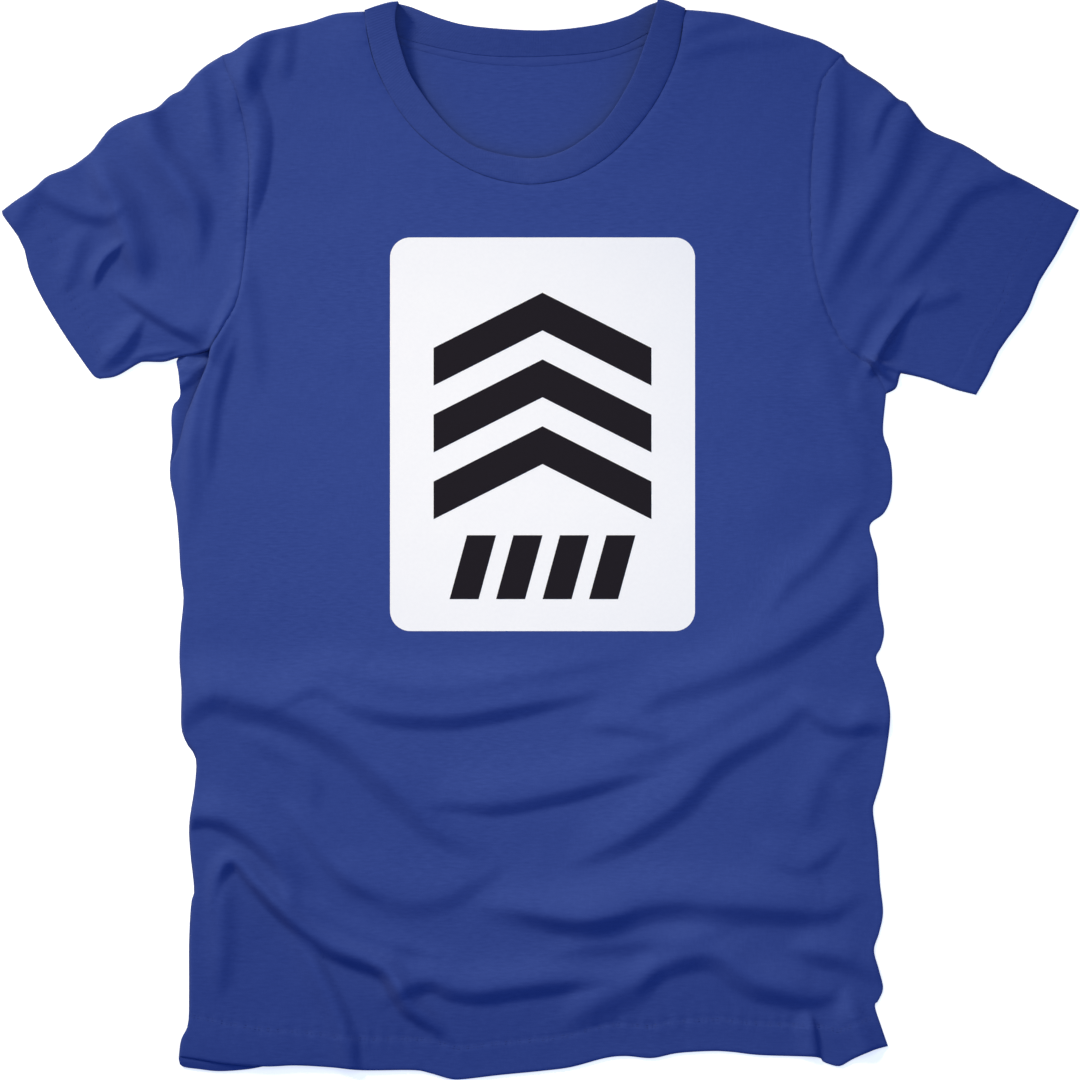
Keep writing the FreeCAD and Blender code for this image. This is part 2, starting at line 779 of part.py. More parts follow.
NODES = (
    "front_panel", "back_panel", "left_sleeve", "right_sleeve",
    "neckband", "neck_tape", "print_panel", "print_motifs",
)


def piece_named(label):
    return document.getObjectsByLabel(label)[0]


def centre_pieces():
    # The shirt is moved so that its middle is over the origin.
    box = FreeCAD.BoundBox()
    for label in NODES:
        box.add(piece_named(label).Shape.optimalBoundingBox(False))
    shift = FreeCAD.Vector(-box.Center.x, -box.Center.y, -box.ZMin)
    for label in NODES:
        piece = piece_named(label)
        piece.Placement.Base = piece.Placement.Base + shift


centre_pieces()
document.recompute()

for item in document.Objects:
    if "Invalid" in item.State or "Error" in item.State:
        raise RuntimeError(item.Name + " failed: " + str(item.State))

os.makedirs("parts", exist_ok=True)
for label in NODES:
    shape = piece_named(label).Shape
    if shape.isNull() or not shape.isValid():
        raise RuntimeError(label + " has no valid shape")
    shape.exportStep(os.path.join("parts", label + ".step"))
    print(label, len(shape.Solids), "solid", len(shape.Faces), "faces", round(shape.Volume), "mm3")
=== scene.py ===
import math

import bpy
import numpy as np
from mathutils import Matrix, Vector


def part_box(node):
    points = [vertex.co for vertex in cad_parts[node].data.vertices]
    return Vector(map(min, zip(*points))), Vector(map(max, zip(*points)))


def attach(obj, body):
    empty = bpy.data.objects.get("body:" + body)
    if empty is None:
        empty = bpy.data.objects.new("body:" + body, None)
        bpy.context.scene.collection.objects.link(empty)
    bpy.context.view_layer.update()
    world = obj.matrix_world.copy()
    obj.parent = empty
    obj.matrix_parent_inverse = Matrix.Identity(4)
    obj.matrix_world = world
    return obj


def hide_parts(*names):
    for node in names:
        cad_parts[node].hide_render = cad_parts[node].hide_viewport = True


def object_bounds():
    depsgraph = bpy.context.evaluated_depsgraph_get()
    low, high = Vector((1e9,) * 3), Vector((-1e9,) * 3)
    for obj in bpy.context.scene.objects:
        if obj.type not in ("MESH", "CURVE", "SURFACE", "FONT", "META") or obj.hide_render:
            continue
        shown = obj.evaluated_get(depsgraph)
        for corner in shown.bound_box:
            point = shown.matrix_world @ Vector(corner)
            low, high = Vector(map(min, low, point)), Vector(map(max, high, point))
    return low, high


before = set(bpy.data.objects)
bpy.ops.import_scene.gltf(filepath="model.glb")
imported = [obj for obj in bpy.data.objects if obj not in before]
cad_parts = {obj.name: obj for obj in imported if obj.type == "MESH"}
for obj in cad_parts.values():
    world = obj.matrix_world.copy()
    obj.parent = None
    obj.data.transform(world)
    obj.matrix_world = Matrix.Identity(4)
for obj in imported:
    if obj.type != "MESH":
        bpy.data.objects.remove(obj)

cad_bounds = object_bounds()


# The front: one panel of cotton jersey, cut with a scooped neck and sewn to the back at the
# sides and shoulders and to the sleeves round the armholes. It lies on the back in the soft
# folds of a shirt that was laid down by hand, with its hem turned up inside.

# The outline is read from the photograph, as pixels across and down. The cuff tips
# are at the two ends of the solid model, which gives the size of a pixel.
LEFT_TIP_PIXEL = 1.7
RIGHT_TIP_PIXEL = 1078.6
MIDDLE_PIXEL = (LEFT_TIP_PIXEL + RIGHT_TIP_PIXEL) / 2
COLLAR_PIXEL = -3.5
low, high = (np.array(end) for end in cad_bounds)
PIXEL = (high[0] - low[0]) / (RIGHT_TIP_PIXEL - LEFT_TIP_PIXEL)
MM = 0.001

LEFT_SIDE = [
    (180, 1056), (182, 1038), (189, 1022), (190, 988), (190, 940), (192, 902), (195, 888),
    (191, 850), (190, 822), (195, 788), (197, 764), (195, 753), (188, 743), (182, 726),
    (182, 688), (180, 660), (181, 630), (184, 597), (181, 571), (179, 537), (176, 506),
    (171, 482), (170, 465),
]
LEFT_ARMPIT = [
    (170, 465), (174, 456), (178, 446), (181, 434), (185, 418), (190, 406), (194, 396),
    (199, 384), (204, 372), (208, 361), (210, 351),
]
LEFT_ARMHOLE = [
    (210, 351), (224, 327), (238, 300), (245, 258), (249, 207), (250, 165), (246, 131),
    (238, 96), (229, 74), (223, 55),
]
LEFT_SHOULDER = [(223, 55), (234, 51), (248, 41), (265, 33), (289, 27), (310, 22), (336, 14), (365, 12)]
NECK_SEAM = [
    (365, 12), (368, 39), (378, 73), (401, 114), (430, 145), (473, 172), (514, 184),
    (546, 184), (582, 174), (619, 148), (655, 104), (677, 56), (685, 10),
]
RIGHT_SHOULDER = [(685, 10), (709, 12), (736, 16), (781, 30), (815, 40), (829, 47), (843, 55)]
RIGHT_ARMHOLE = [
    (886, 394), (884, 387), (872, 368), (858, 357), (843, 344), (826, 310), (814, 268),
    (810, 220), (811, 165), (816, 110), (822, 81), (833, 66), (843, 55),
]
RIGHT_SIDE = [
    (888, 1046), (884, 1036), (875, 1007), (878, 1001), (883, 988), (879, 970), (874, 950),
    (879, 933), (883, 912), (880, 884), (879, 867), (877, 840), (873, 811), (876, 797),
    (881, 781), (886, 753), (890, 722), (889, 702), (884, 681), (876, 659), (881, 647),
    (884, 630), (879, 602), (878, 574), (877, 557), (873, 543), (870, 525), (884, 513),
    (891, 496), (892, 472), (889, 451), (883, 432), (886, 394),
]
FRONT_HEM = [
    (180, 1056), (200, 1059), (225, 1063), (265, 1066), (296, 1065), (331, 1067), (362, 1070),
    (413, 1070), (430, 1073), (451, 1079), (465, 1079), (499, 1075), (540, 1071), (571, 1067),
    (605, 1058), (626, 1056), (652, 1058), (678, 1053), (712, 1051), (733, 1052), (760, 1055),
    (815, 1057), (822, 1061), (829, 1064), (840, 1066), (853, 1059), (874, 1050), (888, 1046),
]


def metres(pixels):
    points = np.asarray(pixels, float)
    across = (points[..., 0] - MIDDLE_PIXEL) * PIXEL
    up = high[1] - (points[..., 1] - COLLAR_PIXEL) * PIXEL
    return np.stack([across, up], -1)


def smooth_line(points, count):
    # A smooth curve through the points, as count + 1 evenly spaced ones.
    knots = np.asarray(points, float)
    ends = np.vstack([2 * knots[0] - knots[1], knots, 2 * knots[-1] - knots[-2]])
    t = np.linspace(0, 1, 12, endpoint=False)[:, None]
    pieces = []
    for before, start, end, after in zip(ends, ends[1:], ends[2:], ends[3:]):
        pieces.append(
            0.5 * (
                2 * start + (end - before) * t
                + (2 * before - 5 * start + 4 * end - after) * t ** 2
                + (3 * start - before - 3 * end + after) * t ** 3
            )
        )
    return evenly(np.vstack(pieces + [knots[-1:]]), np.linspace(0, 1, count + 1))


def evenly(line, shares):
    steps = np.linalg.norm(np.diff(line, axis=0), axis=1)
    along = np.concatenate([[0], np.cumsum(steps)])
    return np.stack([np.interp(np.asarray(shares) * along[-1], along, axis) for axis in line.T], -1)


def joined(*lines):
    return np.vstack([lines[0]] + [line[1:] for line in lines[1:]])


def stretched(bottom, top, left, right, across, up, left_reach=1, right_reach=1):
    # A sheet stretched between four edges, as rows from the bottom edge to the top one. The
    # bends of the left and right edges die out over their reach.
    u = across[None, :, None]
    v = up[:, None, None]
    left_bend = left[:, None] - left[0] * (1 - v) - left[-1] * v
    right_bend = right[:, None] - right[0] * (1 - v) - right[-1] * v
    near_left = np.clip(1 - u / left_reach, 0, 1)
    near_right = np.clip(1 - (1 - u) / right_reach, 0, 1)
    level = bottom[None] * (1 - v) + top[None] * v
    return level + left_bend * near_left + right_bend * near_right


def away_from(points, line):
    # How far each point is from a line, on which side of it, and how far along it.
    flat = points.reshape(-1, 2)
    start, way = line[:-1], np.diff(line, axis=0)
    length = np.linalg.norm(way, axis=1)
    begun = np.concatenate([[0], np.cumsum(length)])
    best = np.full(len(flat), 1e9)
    side = np.zeros(len(flat))
    along = np.zeros(len(flat))
    for k in range(len(way)):
        if length[k] < 1e-9:
            continue
        unit = way[k] / length[k]
        gap = flat - start[k]
        reach = np.clip(gap @ unit, 0, length[k])
        offset = gap - reach[:, None] * unit
        distance = np.hypot(offset[:, 0], offset[:, 1])
        nearer = distance < best
        best[nearer] = distance[nearer]
        side[nearer] = (unit[0] * gap[:, 1] - unit[1] * gap[:, 0])[nearer]
        along[nearer] = (begun[k] + reach)[nearer]
    shape = points.shape[:-1]
    return best.reshape(shape), np.sign(side).reshape(shape), (along / begun[-1]).reshape(shape)


# Each fold is a ridge with a gentle side towards the light and a steep side away from it.
# It is written as height, width of the gentle side and width of the steep side, all in
# millimetres, how crisp its valley is, and the pixels along the middle of its shaded side.
FOLDS = [
    (2.6, 16, 8, 0.1, [(285, 673), (318, 671), (351, 677), (390, 689), (440, 692), (486, 686), (560, 673), (640, 656)]),
    (6.4, 22, 8, 0.3, [(262, 716), (296, 697), (314, 690), (334, 696), (350, 707), (376, 715), (413, 720), (455, 720), (488, 715), (526, 708), (573, 699), (610, 690)]),
    (8.8, 20, 11, 0.2, [(120, 748), (160, 734), (183, 722), (204, 705), (225, 702), (246, 709), (277, 717), (305, 728), (328, 741), (352, 757), (375, 779), (394, 797), (413, 816), (432, 833), (455, 845), (490, 862)]),
    (2.6, 8, 7, 0.2, [(232, 730), (262, 748), (290, 762), (305, 784), (312, 812)]),
    (3.8, 8, 7, 0.2, [(276, 796), (296, 824), (314, 848), (332, 868), (354, 888), (384, 904)]),
    (5.2, 20, 7.5, 0.4, [(418, 806), (450, 805), (498, 807), (540, 800), (573, 793), (615, 781), (670, 768)]),
    (3.2, 18, 9, 0.2, [(318, 856), (343, 878), (376, 896), (413, 908), (451, 899), (479, 884), (505, 864)]),
    (7.4, 12, 6.5, 0.4, [(130, 842), (180, 826), (204, 820), (224, 824), (242, 834), (259, 847), (275, 864), (286, 884), (291, 910)]),
    (2.6, 7, 5, 0.3, [(250, 850), (266, 872), (282, 892), (306, 908), (352, 932), (408, 950), (460, 960)]),
    (8.0, 9, 6.5, 0.4, [(232, 858), (246, 878), (260, 890), (278, 908), (297, 926), (318, 944), (341, 956), (365, 964), (385, 974), (396, 992), (404, 1008), (422, 1022), (458, 1046)]),
    (5.6, 6, 5, 0.4, [(214, 918), (215, 896), (221, 876), (232, 863), (245, 872), (257, 888), (274, 906), (296, 926), (322, 946)]),
    (2.8, 6, 6, 0.3, [(362, 958), (380, 972), (392, 986), (403, 1001), (420, 1017), (448, 1036)]),
    (2.2, 9, 9, 0.1, [(300, 922), (328, 942), (360, 958), (392, 966), (428, 974)]),
    (4.0, 8, 8, 0.1, [(222, 860), (229, 890), (230, 925), (228, 960), (222, 1000)]),
    (5.6, 9, 5.5, 0.5, [(284, 908), (305, 940), (318, 960), (328, 979), (339, 1001), (348, 1024), (354, 1050), (360, 1110)]),
    (6.6, 13, 7.5, 0.4, [(378, 1010), (396, 996), (414, 986), (434, 984), (452, 992), (479, 995), (517, 990), (559, 985), (620, 979)]),
    (5.4, 18, 10, 0.1, [(470, 905), (500, 914), (548, 920), (590, 923), (640, 914)]),
    (5.2, 22, 10, 0.2, [(930, 544), (878, 582), (860, 598), (837, 617), (810, 636), (779, 655), (748, 670), (710, 684), (675, 694), (652, 705), (634, 718), (624, 732)]),
    (3.0, 12, 7, 0.1, [(868, 500), (820, 561), (795, 583), (764, 620)]),
    (2.8, 12, 5.5, 0.3, [(580, 726), (610, 729), (640, 732), (668, 741)]),
    (2.6, 16, 8, 0.2, [(590, 766), (648, 756), (683, 744), (710, 729), (733, 714), (764, 698), (796, 681)]),
    (6.0, 20, 9.5, 0.2, [(826, 697), (798, 713), (779, 731), (756, 743), (733, 756), (714, 771), (698, 790), (679, 809), (656, 825), (629, 841), (590, 859), (560, 868)]),
    (5.2, 12, 6.5, 0.3, [(784, 690), (802, 708), (816, 720), (832, 729), (850, 731), (872, 728), (925, 740)]),
    (2.6, 12, 9, 0.0, [(872, 736), (846, 757), (829, 779), (818, 802), (808, 838)]),
    (3.0, 10, 5, 0.2, [(818, 772), (842, 802), (866, 831), (900, 866)]),
    (2.4, 14, 6, 0.2, [(748, 832), (768, 857), (788, 869), (810, 868), (830, 854), (848, 832)]),
    (8.6, 20, 11, 0.2, [(496, 902), (530, 916), (563, 925), (590, 926), (617, 921), (644, 912), (675, 908), (714, 911), (752, 912), (791, 915), (825, 916), (845, 907), (870, 888)]),
    (2.8, 12, 7, 0.2, [(540, 960), (590, 950), (636, 946), (675, 942), (714, 934), (750, 922)]),
    (7.4, 14, 9.5, 0.3, [(632, 996), (656, 975), (678, 964), (700, 959), (720, 964), (738, 979), (758, 990), (787, 997), (812, 1001), (848, 994)]),
    (4.6, 12, 11, 0.2, [(664, 960), (652, 974), (640, 988), (620, 1000), (594, 1014), (560, 1030)]),
    (5.2, 12, 8, 0.2, [(784, 950), (818, 958), (850, 966), (900, 990)]),
    (5.4, 5, 10, 0.1, [(250, 272), (238, 304), (231, 328), (225, 348), (219, 366), (214, 384), (209, 402), (205, 422), (201, 446), (197, 480), (192, 540)]),
    (2.8, 5, 4.5, 0.3, [(240, 330), (228, 370), (221, 396), (217, 420), (214, 446), (210, 490)]),
    (3.4, 9, 8, 0.1, [(245, 240), (251, 272), (255, 300), (259, 340), (264, 390)]),
    (8.0, 10, 10, 0.2, [(300, -30), (278, 22), (265, 48), (255, 70), (247, 92), (238, 124)]),
    (5.4, 8, 7, 0.6, [(244, 56), (257, 98), (265, 128), (264, 160), (257, 196), (246, 238)]),
    (3.4, 7, 6, 0.3, [(296, 14), (291, 42), (288, 84)]),
    (3.0, 9, 6, 0.3, [(676, 46), (692, 36), (708, 29), (750, 18)]),
    (2.6, 11, 7, 0.1, [(676, 62), (714, 51), (746, 45), (806, 46)]),
    (2.0, 7, 7, 0.1, [(856, 376), (868, 400), (877, 424), (884, 452)]),
    (2.4, 14, 12, 0.0, [(820, 330), (842, 390), (862, 440), (878, 500)]),
    (4.4, 8, 3.2, 0.6, [(806, 1006), (812, 1022), (816, 1042), (818, 1075)]),
    (6.8, 10, 9, 0.1, [(846, 984), (862, 1010), (873, 1030), (888, 1076)]),
    (10.4, 13, 9.5, 0.1, [(136, 20), (147, 76), (155, 108), (161, 134), (170, 153), (183, 170), (195, 187), (204, 206), (206, 230), (202, 268)]),
    (10.6, 9, 11.5, 0.1, [(92, 140), (116, 178), (129, 200), (137, 222), (144, 244), (147, 264), (146, 292)]),
    (2.8, 8, 7, 0.0, [(92, 226), (84, 248), (77, 270), (66, 296)]),
    (4.8, 9, 6, 0.2, [(22, 172), (44, 196), (68, 211), (92, 220), (112, 220), (130, 206)]),
    (5.8, 13, 4.4, 0.4, [(108, 284), (126, 298), (146, 312), (162, 322), (173, 329), (185, 335), (194, 340), (203, 348), (222, 372)]),
    (4.4, 5, 3.2, 0.2, [(129, 240), (119, 250), (110, 258), (103, 267), (98, 278), (95, 292)]),
    (3.4, 8, 8, 0.0, [(52, 164), (42, 186), (34, 204), (24, 222), (12, 240)]),
    (4.6, 8, 5, 0.2, [(146, 316), (138, 332), (130, 346), (119, 358), (98, 374)]),
    (2.0, 3, 1.6, 0.5, [(128, 361), (150, 356), (166, 354), (184, 351)]),
    (3.8, 8, 7, 0.1, [(200, 50), (212, 96), (217, 134), (224, 176)]),
    (4.0, 9, 7, 0.1, [(832, 44), (839, 90), (838, 134), (835, 170), (831, 210), (816, 286)]),
    (5.0, 8, 5, 0.3, [(926, 70), (896, 100), (883, 116), (868, 160)]),
    (6.8, 13, 11, 0.1, [(946, 60), (926, 98), (914, 127), (904, 155), (891, 187), (876, 213), (859, 240), (842, 270), (820, 312)]),
    (2.6, 9, 7, 0.0, [(960, 142), (942, 170), (922, 204), (896, 240), (866, 278)]),
    (4.8, 14, 8, 0.2, [(1040, 194), (1004, 186), (979, 191), (961, 204), (950, 219), (943, 232), (930, 246), (917, 262), (902, 277), (884, 290)]),
    (3.0, 8, 7, 0.2, [(986, 158), (1000, 172), (1018, 184)]),
    (3.6, 8, 2.8, 0.3, [(930, 286), (917, 301), (905, 317), (893, 333), (884, 348), (876, 362), (869, 378)]),
    (3.4, 6, 3.0, 0.4, [(904, 318), (893, 334), (883, 350), (874, 366), (866, 384)]),
    (2.4, 10, 8, 0.0, [(894, 292), (872, 322), (862, 342), (852, 372)]),
    (2.8, 9, 6, 0.1, [(966, 292), (944, 302), (926, 307), (908, 316)]),
    (4.4, 4, 2.0, 0.5, [(860, 352), (872, 364), (882, 373), (894, 381), (912, 392)]),
    (3.6, 4, 1.8, 0.5, [(864, 360), (880, 366), (896, 371), (916, 380)]),
]
SHADE_WAY = np.array([0.63, -0.78])
CREST_SHARE = 0.7
END_SHARE = 0.35
VALLEY_DIP = 0.08


def fold_height(points, folds):
    total = np.zeros(points.shape[:-1])
    for height, gentle, steep, crisp, pixels in folds:
        line = smooth_line(metres(pixels), 36)
        reach = 3 * max(gentle, steep) * MM
        near = np.all((points > line.min(0) - reach) & (points < line.max(0) + reach), axis=-1)
        distance, side, along = away_from(points[near], line)
        way = line[-1] - line[0]
        shaded = 1 if way[0] * SHADE_WAY[1] - way[1] * SHADE_WAY[0] > 0 else -1
        ends = np.clip(np.minimum(along, 1 - along) / END_SHARE, 0, 1)
        fade = np.sin(ends * math.pi / 2)
        narrow = 0.4 + 0.6 * fade
        past = distance * side * shaded / MM / narrow + CREST_SHARE * steep
        soft = np.exp(-((past / np.where(past < 0, gentle, steep)) ** 2))
        curled = np.clip(1 - (past / (1.55 * steep)) ** 2, 0, 1)
        profile = np.where(past < 0, soft, soft * (1 - crisp) + curled * crisp)
        profile -= crisp * VALLEY_DIP * np.exp(-(((past - 1.6 * steep) / (0.5 * steep)) ** 2))
        total[near] += height * MM * fade ** 1.3 * profile
    return total


def slack(points, size, seed):
    # The slow unevenness of cloth that nothing pulls flat.
    chance = np.random.RandomState(seed)
    total = np.zeros(points.shape[:-1])
    for _ in range(7):
        turn = chance.uniform(0, math.pi)
        wave = chance.uniform(0.7, 1.6) / size
        start = chance.uniform(0, 2 * math.pi)
        along = points[..., 0] * math.cos(turn) + points[..., 1] * math.sin(turn)
        total += np.sin(along * wave * 2 * math.pi + start)
    return total / 7


def ease(share):
    share = np.clip(share, 0, 1)
    return share * share * (3 - 2 * share)


CLOTH = 0.6 * MM
FRONT_TOP = 2.4 * MM
LOFT = 4.4 * MM
EDGE_ROUND = 2.0 * MM
EDGE_SETTLE = 22 * MM
SEAM_DIP = 0.95 * MM
SEAM_SPREAD = 1.2 * MM
NECK_DIP = 0.4 * MM
NECK_RISE = 1.0 * MM
NECK_POINT_RISE = 4.4 * MM
NECK_SPREAD = 22 * MM
HEM_DEPTH = 33
HEM_SKEW = 0.3
HEM_SKEW_SHARE = 0.25

SIDE_ROWS = 240
ARM_ROWS = 120
ARM_SHARE = 0.66
SHOULDER_COLUMNS = 58
EDGE_STEPS = np.array([0.4, 1.0, 1.8]) * MM
left_side = smooth_line(metres(LEFT_SIDE), SIDE_ROWS)
right_side = smooth_line(metres(RIGHT_SIDE), SIDE_ROWS)
left_armpit = smooth_line(metres(LEFT_ARMPIT), 40)
left_armhole = smooth_line(metres(LEFT_ARMHOLE), ARM_ROWS)
right_armhole = smooth_line(metres(RIGHT_ARMHOLE), ARM_ROWS)
left_shoulder = smooth_line(metres(LEFT_SHOULDER), 100)
right_shoulder = smooth_line(metres(RIGHT_SHOULDER), 100)
front_hem = smooth_line(metres(FRONT_HEM), 400)

PRINT_CENTRE = metres((542.5, 434.5))
PRINT_HALF = np.array([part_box("print_panel")[1][k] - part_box("print_panel")[0][k] for k in (0, 1)]) / 2


def off_the_print(points):
    gap = np.maximum(np.abs(points - PRINT_CENTRE) - PRINT_HALF, 0)
    return ease(np.hypot(gap[..., 0], gap[..., 1]) / (30 * MM))


NECK_COLUMNS = 130
neck_seam = smooth_line(metres(NECK_SEAM), NECK_COLUMNS)
neck_seam[:, 0] = np.maximum.accumulate(neck_seam[:, 0])


def neck_rise(turn):
    # The neck stands off the table, most of all where the band folds over.
    to_point = np.minimum(turn, 1 - turn)
    point_rise = NECK_POINT_RISE * (1.5 - 0.5 * ease(turn))
    return NECK_RISE * np.sin(np.clip(turn, 0, 1) * math.pi) ** 0.7 + point_rise * np.exp(-to_point / 0.1)


def loft(points):
    # The air in the shirt lifts the body, least of all near its right side, hem and cuffs.
    to_right, _, _ = away_from(points, right_side[::8])
    to_hem, _, _ = away_from(points, front_hem[::8])
    past_arms = np.maximum(np.abs(points[..., 0]) - 0.18, 0)
    share = np.minimum(to_right / 0.085, to_hem / 0.06)
    low_corner = np.exp(-(((points - metres((240, 1010))) / 0.06) ** 2).sum(axis=-1))
    return LOFT * ease(share) * (1 - 0.8 * ease(past_arms / 0.14)) * (1 - 0.6 * low_corner)


def cloth_height(points):
    # The height of the upper layer away from its edges.
    folds = fold_height(points, FOLDS)
    loose = 0.7 * MM * slack(points, 95 * MM, 3) + 0.3 * MM * slack(points, 38 * MM, 8)
    keep = off_the_print(points)
    distance, _, turn = away_from(points, neck_seam)
    rise = neck_rise(turn) * np.exp(-((distance / NECK_SPREAD) ** 2))
    return FRONT_TOP + loft(points) + (folds + rise) * keep + loose * (0.25 + 0.75 * keep)


def seam_pucker(along, length, seed):
    phase = np.sin(along * 7 + seed) + np.sin(along * 17 + 2 * seed)
    return np.sin(along * length / (9 * MM) * 2 * math.pi + 1.6 * phase)


def cloth_mesh(name, points, closed_around=False):
    # A smooth mesh from rows of points, each row a line across the cloth.
    rows, columns = points.shape[:2]
    number = np.arange(rows * columns).reshape(rows, columns)
    nexts = np.roll(number, -1, axis=1) if closed_around else number[:, 1:]
    here = number if closed_around else number[:, :-1]
    faces = np.stack([here[:-1], nexts[:-1], nexts[1:], here[1:]], -1).reshape(-1, 4)
    mesh = bpy.data.meshes.new(name)
    mesh.from_pydata(points.reshape(-1, 3).tolist(), [], faces.tolist())
    mesh.shade_smooth()
    mesh.update()
    piece = bpy.data.objects.new(name, mesh)
    bpy.context.scene.collection.objects.link(piece)
    return piece


def colour(red, green, blue):
    # A colour given as it is seen on a screen, 0 to 255.
    channels = []
    for value in (red, green, blue):
        share = value / 255
        channels.append(share / 12.92 if share <= 0.04045 else ((share + 0.055) / 1.055) ** 2.4)
    return (*channels, 1)


def knit_material(name, base, fleck, pale, streak=0.3, rough=0.9):
    # Matte cotton knit: slubby yarn in short sideways streaks, heather flecks and a fine nap.
    material = bpy.data.materials.new(name)
    material.use_nodes = True
    nodes, links = material.node_tree.nodes, material.node_tree.links
    shader = nodes["Principled BSDF"]
    shader.inputs["Roughness"].default_value = rough
    shader.inputs["Specular IOR Level"].default_value = 0.08
    shader.inputs["Sheen Weight"].default_value = 0.03
    shader.inputs["Sheen Roughness"].default_value = 0.6
    place = nodes.new("ShaderNodeTexCoord")

    def noise(scale, detail, sharpness=0.5):
        stretch = nodes.new("ShaderNodeMapping")
        stretch.inputs["Scale"].default_value = scale
        texture = nodes.new("ShaderNodeTexNoise")
        texture.inputs["Scale"].default_value = 1
        texture.inputs["Detail"].default_value = detail
        texture.inputs["Roughness"].default_value = sharpness
        links.new(place.outputs["Object"], stretch.inputs["Vector"])
        links.new(stretch.outputs["Vector"], texture.inputs["Vector"])
        return texture.outputs["Fac"]

    def mixed(first, second, share, low_end, high_end):
        spread = nodes.new("ShaderNodeMapRange")
        spread.inputs["From Min"].default_value = low_end
        spread.inputs["From Max"].default_value = high_end
        links.new(share, spread.inputs["Value"])
        mix = nodes.new("ShaderNodeMix")
        mix.data_type = "RGBA"
        links.new(spread.outputs["Result"], mix.inputs["Factor"])
        for socket, value in ((mix.inputs[6], first), (mix.inputs[7], second)):
            if isinstance(value, tuple):
                socket.default_value = value
            else:
                links.new(value, socket)
        return mix.outputs[2]

    courses = noise((150, 720, 300), 3, 0.6)
    wales = noise((600, 190, 300), 3, 0.6)
    flecks = noise((700, 600, 500), 2, 0.7)
    cloudy = noise((9, 9, 9), 2)
    heather = mixed(fleck, pale, courses, 0.5 - streak, 0.5 + streak)
    upright = mixed(fleck, pale, wales, 0.5 - streak, 0.5 + streak)
    body = mixed(heather, upright, cloudy, 0.42, 0.9)
    body = mixed(base, body, flecks, 0.15, 1.0)
    links.new(body, shader.inputs["Base Color"])
    nap = nodes.new("ShaderNodeBump")
    nap.inputs["Strength"].default_value = 0.22
    nap.inputs["Distance"].default_value = 0.0004
    links.new(noise((1100, 1500, 900), 3, 0.7), nap.inputs["Height"])
    slub = nodes.new("ShaderNodeBump")
    slub.inputs["Strength"].default_value = 0.1
    slub.inputs["Distance"].default_value = 0.0005
    links.new(noise((90, 560, 300), 2, 0.6), slub.inputs["Height"])
    links.new(nap.outputs["Normal"], slub.inputs["Normal"])
    links.new(slub.outputs["Normal"], shader.inputs["Normal"])
    return material


jersey = knit_material("blue_jersey", colour(49, 69, 139), colour(36, 55, 124), colour(62, 83, 154))

hem_start = front_hem[0, 0]
hem_reach = front_hem[-1, 0] - hem_start
front_length = neck_seam[0, 1] - front_hem[0, 1]

neck_shares = (neck_seam[:, 0] - hem_start) / hem_reach
edge_shares = EDGE_STEPS / hem_reach
left_shares = np.concatenate([[0], edge_shares, np.linspace(edge_shares[-1], neck_shares[0], SHOULDER_COLUMNS)[1:]])
right_shares = np.concatenate([
    np.linspace(neck_shares[-1], 1 - edge_shares[-1], SHOULDER_COLUMNS)[:-1], 1 - edge_shares[::-1], [1],
])
column_shares = np.concatenate([left_shares, neck_shares[1:-1], right_shares])
row_shares = np.concatenate([
    [0], EDGE_STEPS / front_length,
    np.linspace(EDGE_STEPS[-1] / front_length, ARM_SHARE, SIDE_ROWS)[1:],
    np.linspace(ARM_SHARE, 1 - EDGE_STEPS[-1] / front_length, ARM_ROWS)[1:],
    1 - EDGE_STEPS[1::-1] / front_length, [1],
])


def up_the_side(side, arm):
    below = row_shares <= ARM_SHARE
    return np.vstack([
        evenly(side, row_shares[below] / ARM_SHARE),
        evenly(arm, (row_shares[~below] - ARM_SHARE) / (1 - ARM_SHARE)),
    ])


def laid_panel(hem, left_edge, neck_line, right_edge):
    # The shape of a body panel: columns run straight up from the hem to shoulders and neck.
    left_top = evenly(left_shoulder, left_shares / left_shares[-1])
    right_top = evenly(right_shoulder, (right_shares - right_shares[0]) / (1 - right_shares[0]))
    return stretched(
        evenly(hem, column_shares), joined(left_top, neck_line, right_top), left_edge, right_edge,
        column_shares, row_shares, neck_shares[0], 1 - neck_shares[-1],
    )


right_edge = up_the_side(right_side, right_armhole)
front_plan = laid_panel(
    front_hem, up_the_side(left_side, joined(left_armpit, left_armhole)), neck_seam, right_edge
)


def rounded_edge(height, gap, foot, sag):
    # Brings cloth down to its folded edge: a sag at first, then a quarter round.
    settled = foot + (height - foot) * (1 - sag + sag * ease(gap / EDGE_SETTLE))
    share = np.clip(gap / EDGE_ROUND, 0, 1)
    return foot + (settled - foot) * np.sqrt(1 - (1 - share) ** 2)


front_height = cloth_height(front_plan)
hem_gap, _, hem_along = away_from(front_plan, front_hem)
hem_inner = HEM_DEPTH * PIXEL
past_hem = hem_gap - hem_inner * (1 + HEM_SKEW * ease(1 - hem_along / HEM_SKEW_SHARE))
at_hem = 1 - ease((past_hem + 1 * MM) / (1.5 * MM))
front_height += 0.35 * MM * at_hem - 0.4 * MM * np.exp(-((past_hem / (1.5 * MM)) ** 2))
front_height += 0.25 * MM * seam_pucker(hem_along, 0.49, 2) * np.exp(-((past_hem / (7 * MM)) ** 2))
for armhole, seed in ((left_armhole, 1), (right_armhole, 4)):
    gap, _, along = away_from(front_plan, armhole)
    front_height -= SEAM_DIP * np.exp(-((gap / SEAM_SPREAD) ** 2))
    front_height += 0.2 * MM * seam_pucker(along, 0.26, seed) * np.exp(-((gap / (6 * MM)) ** 2))
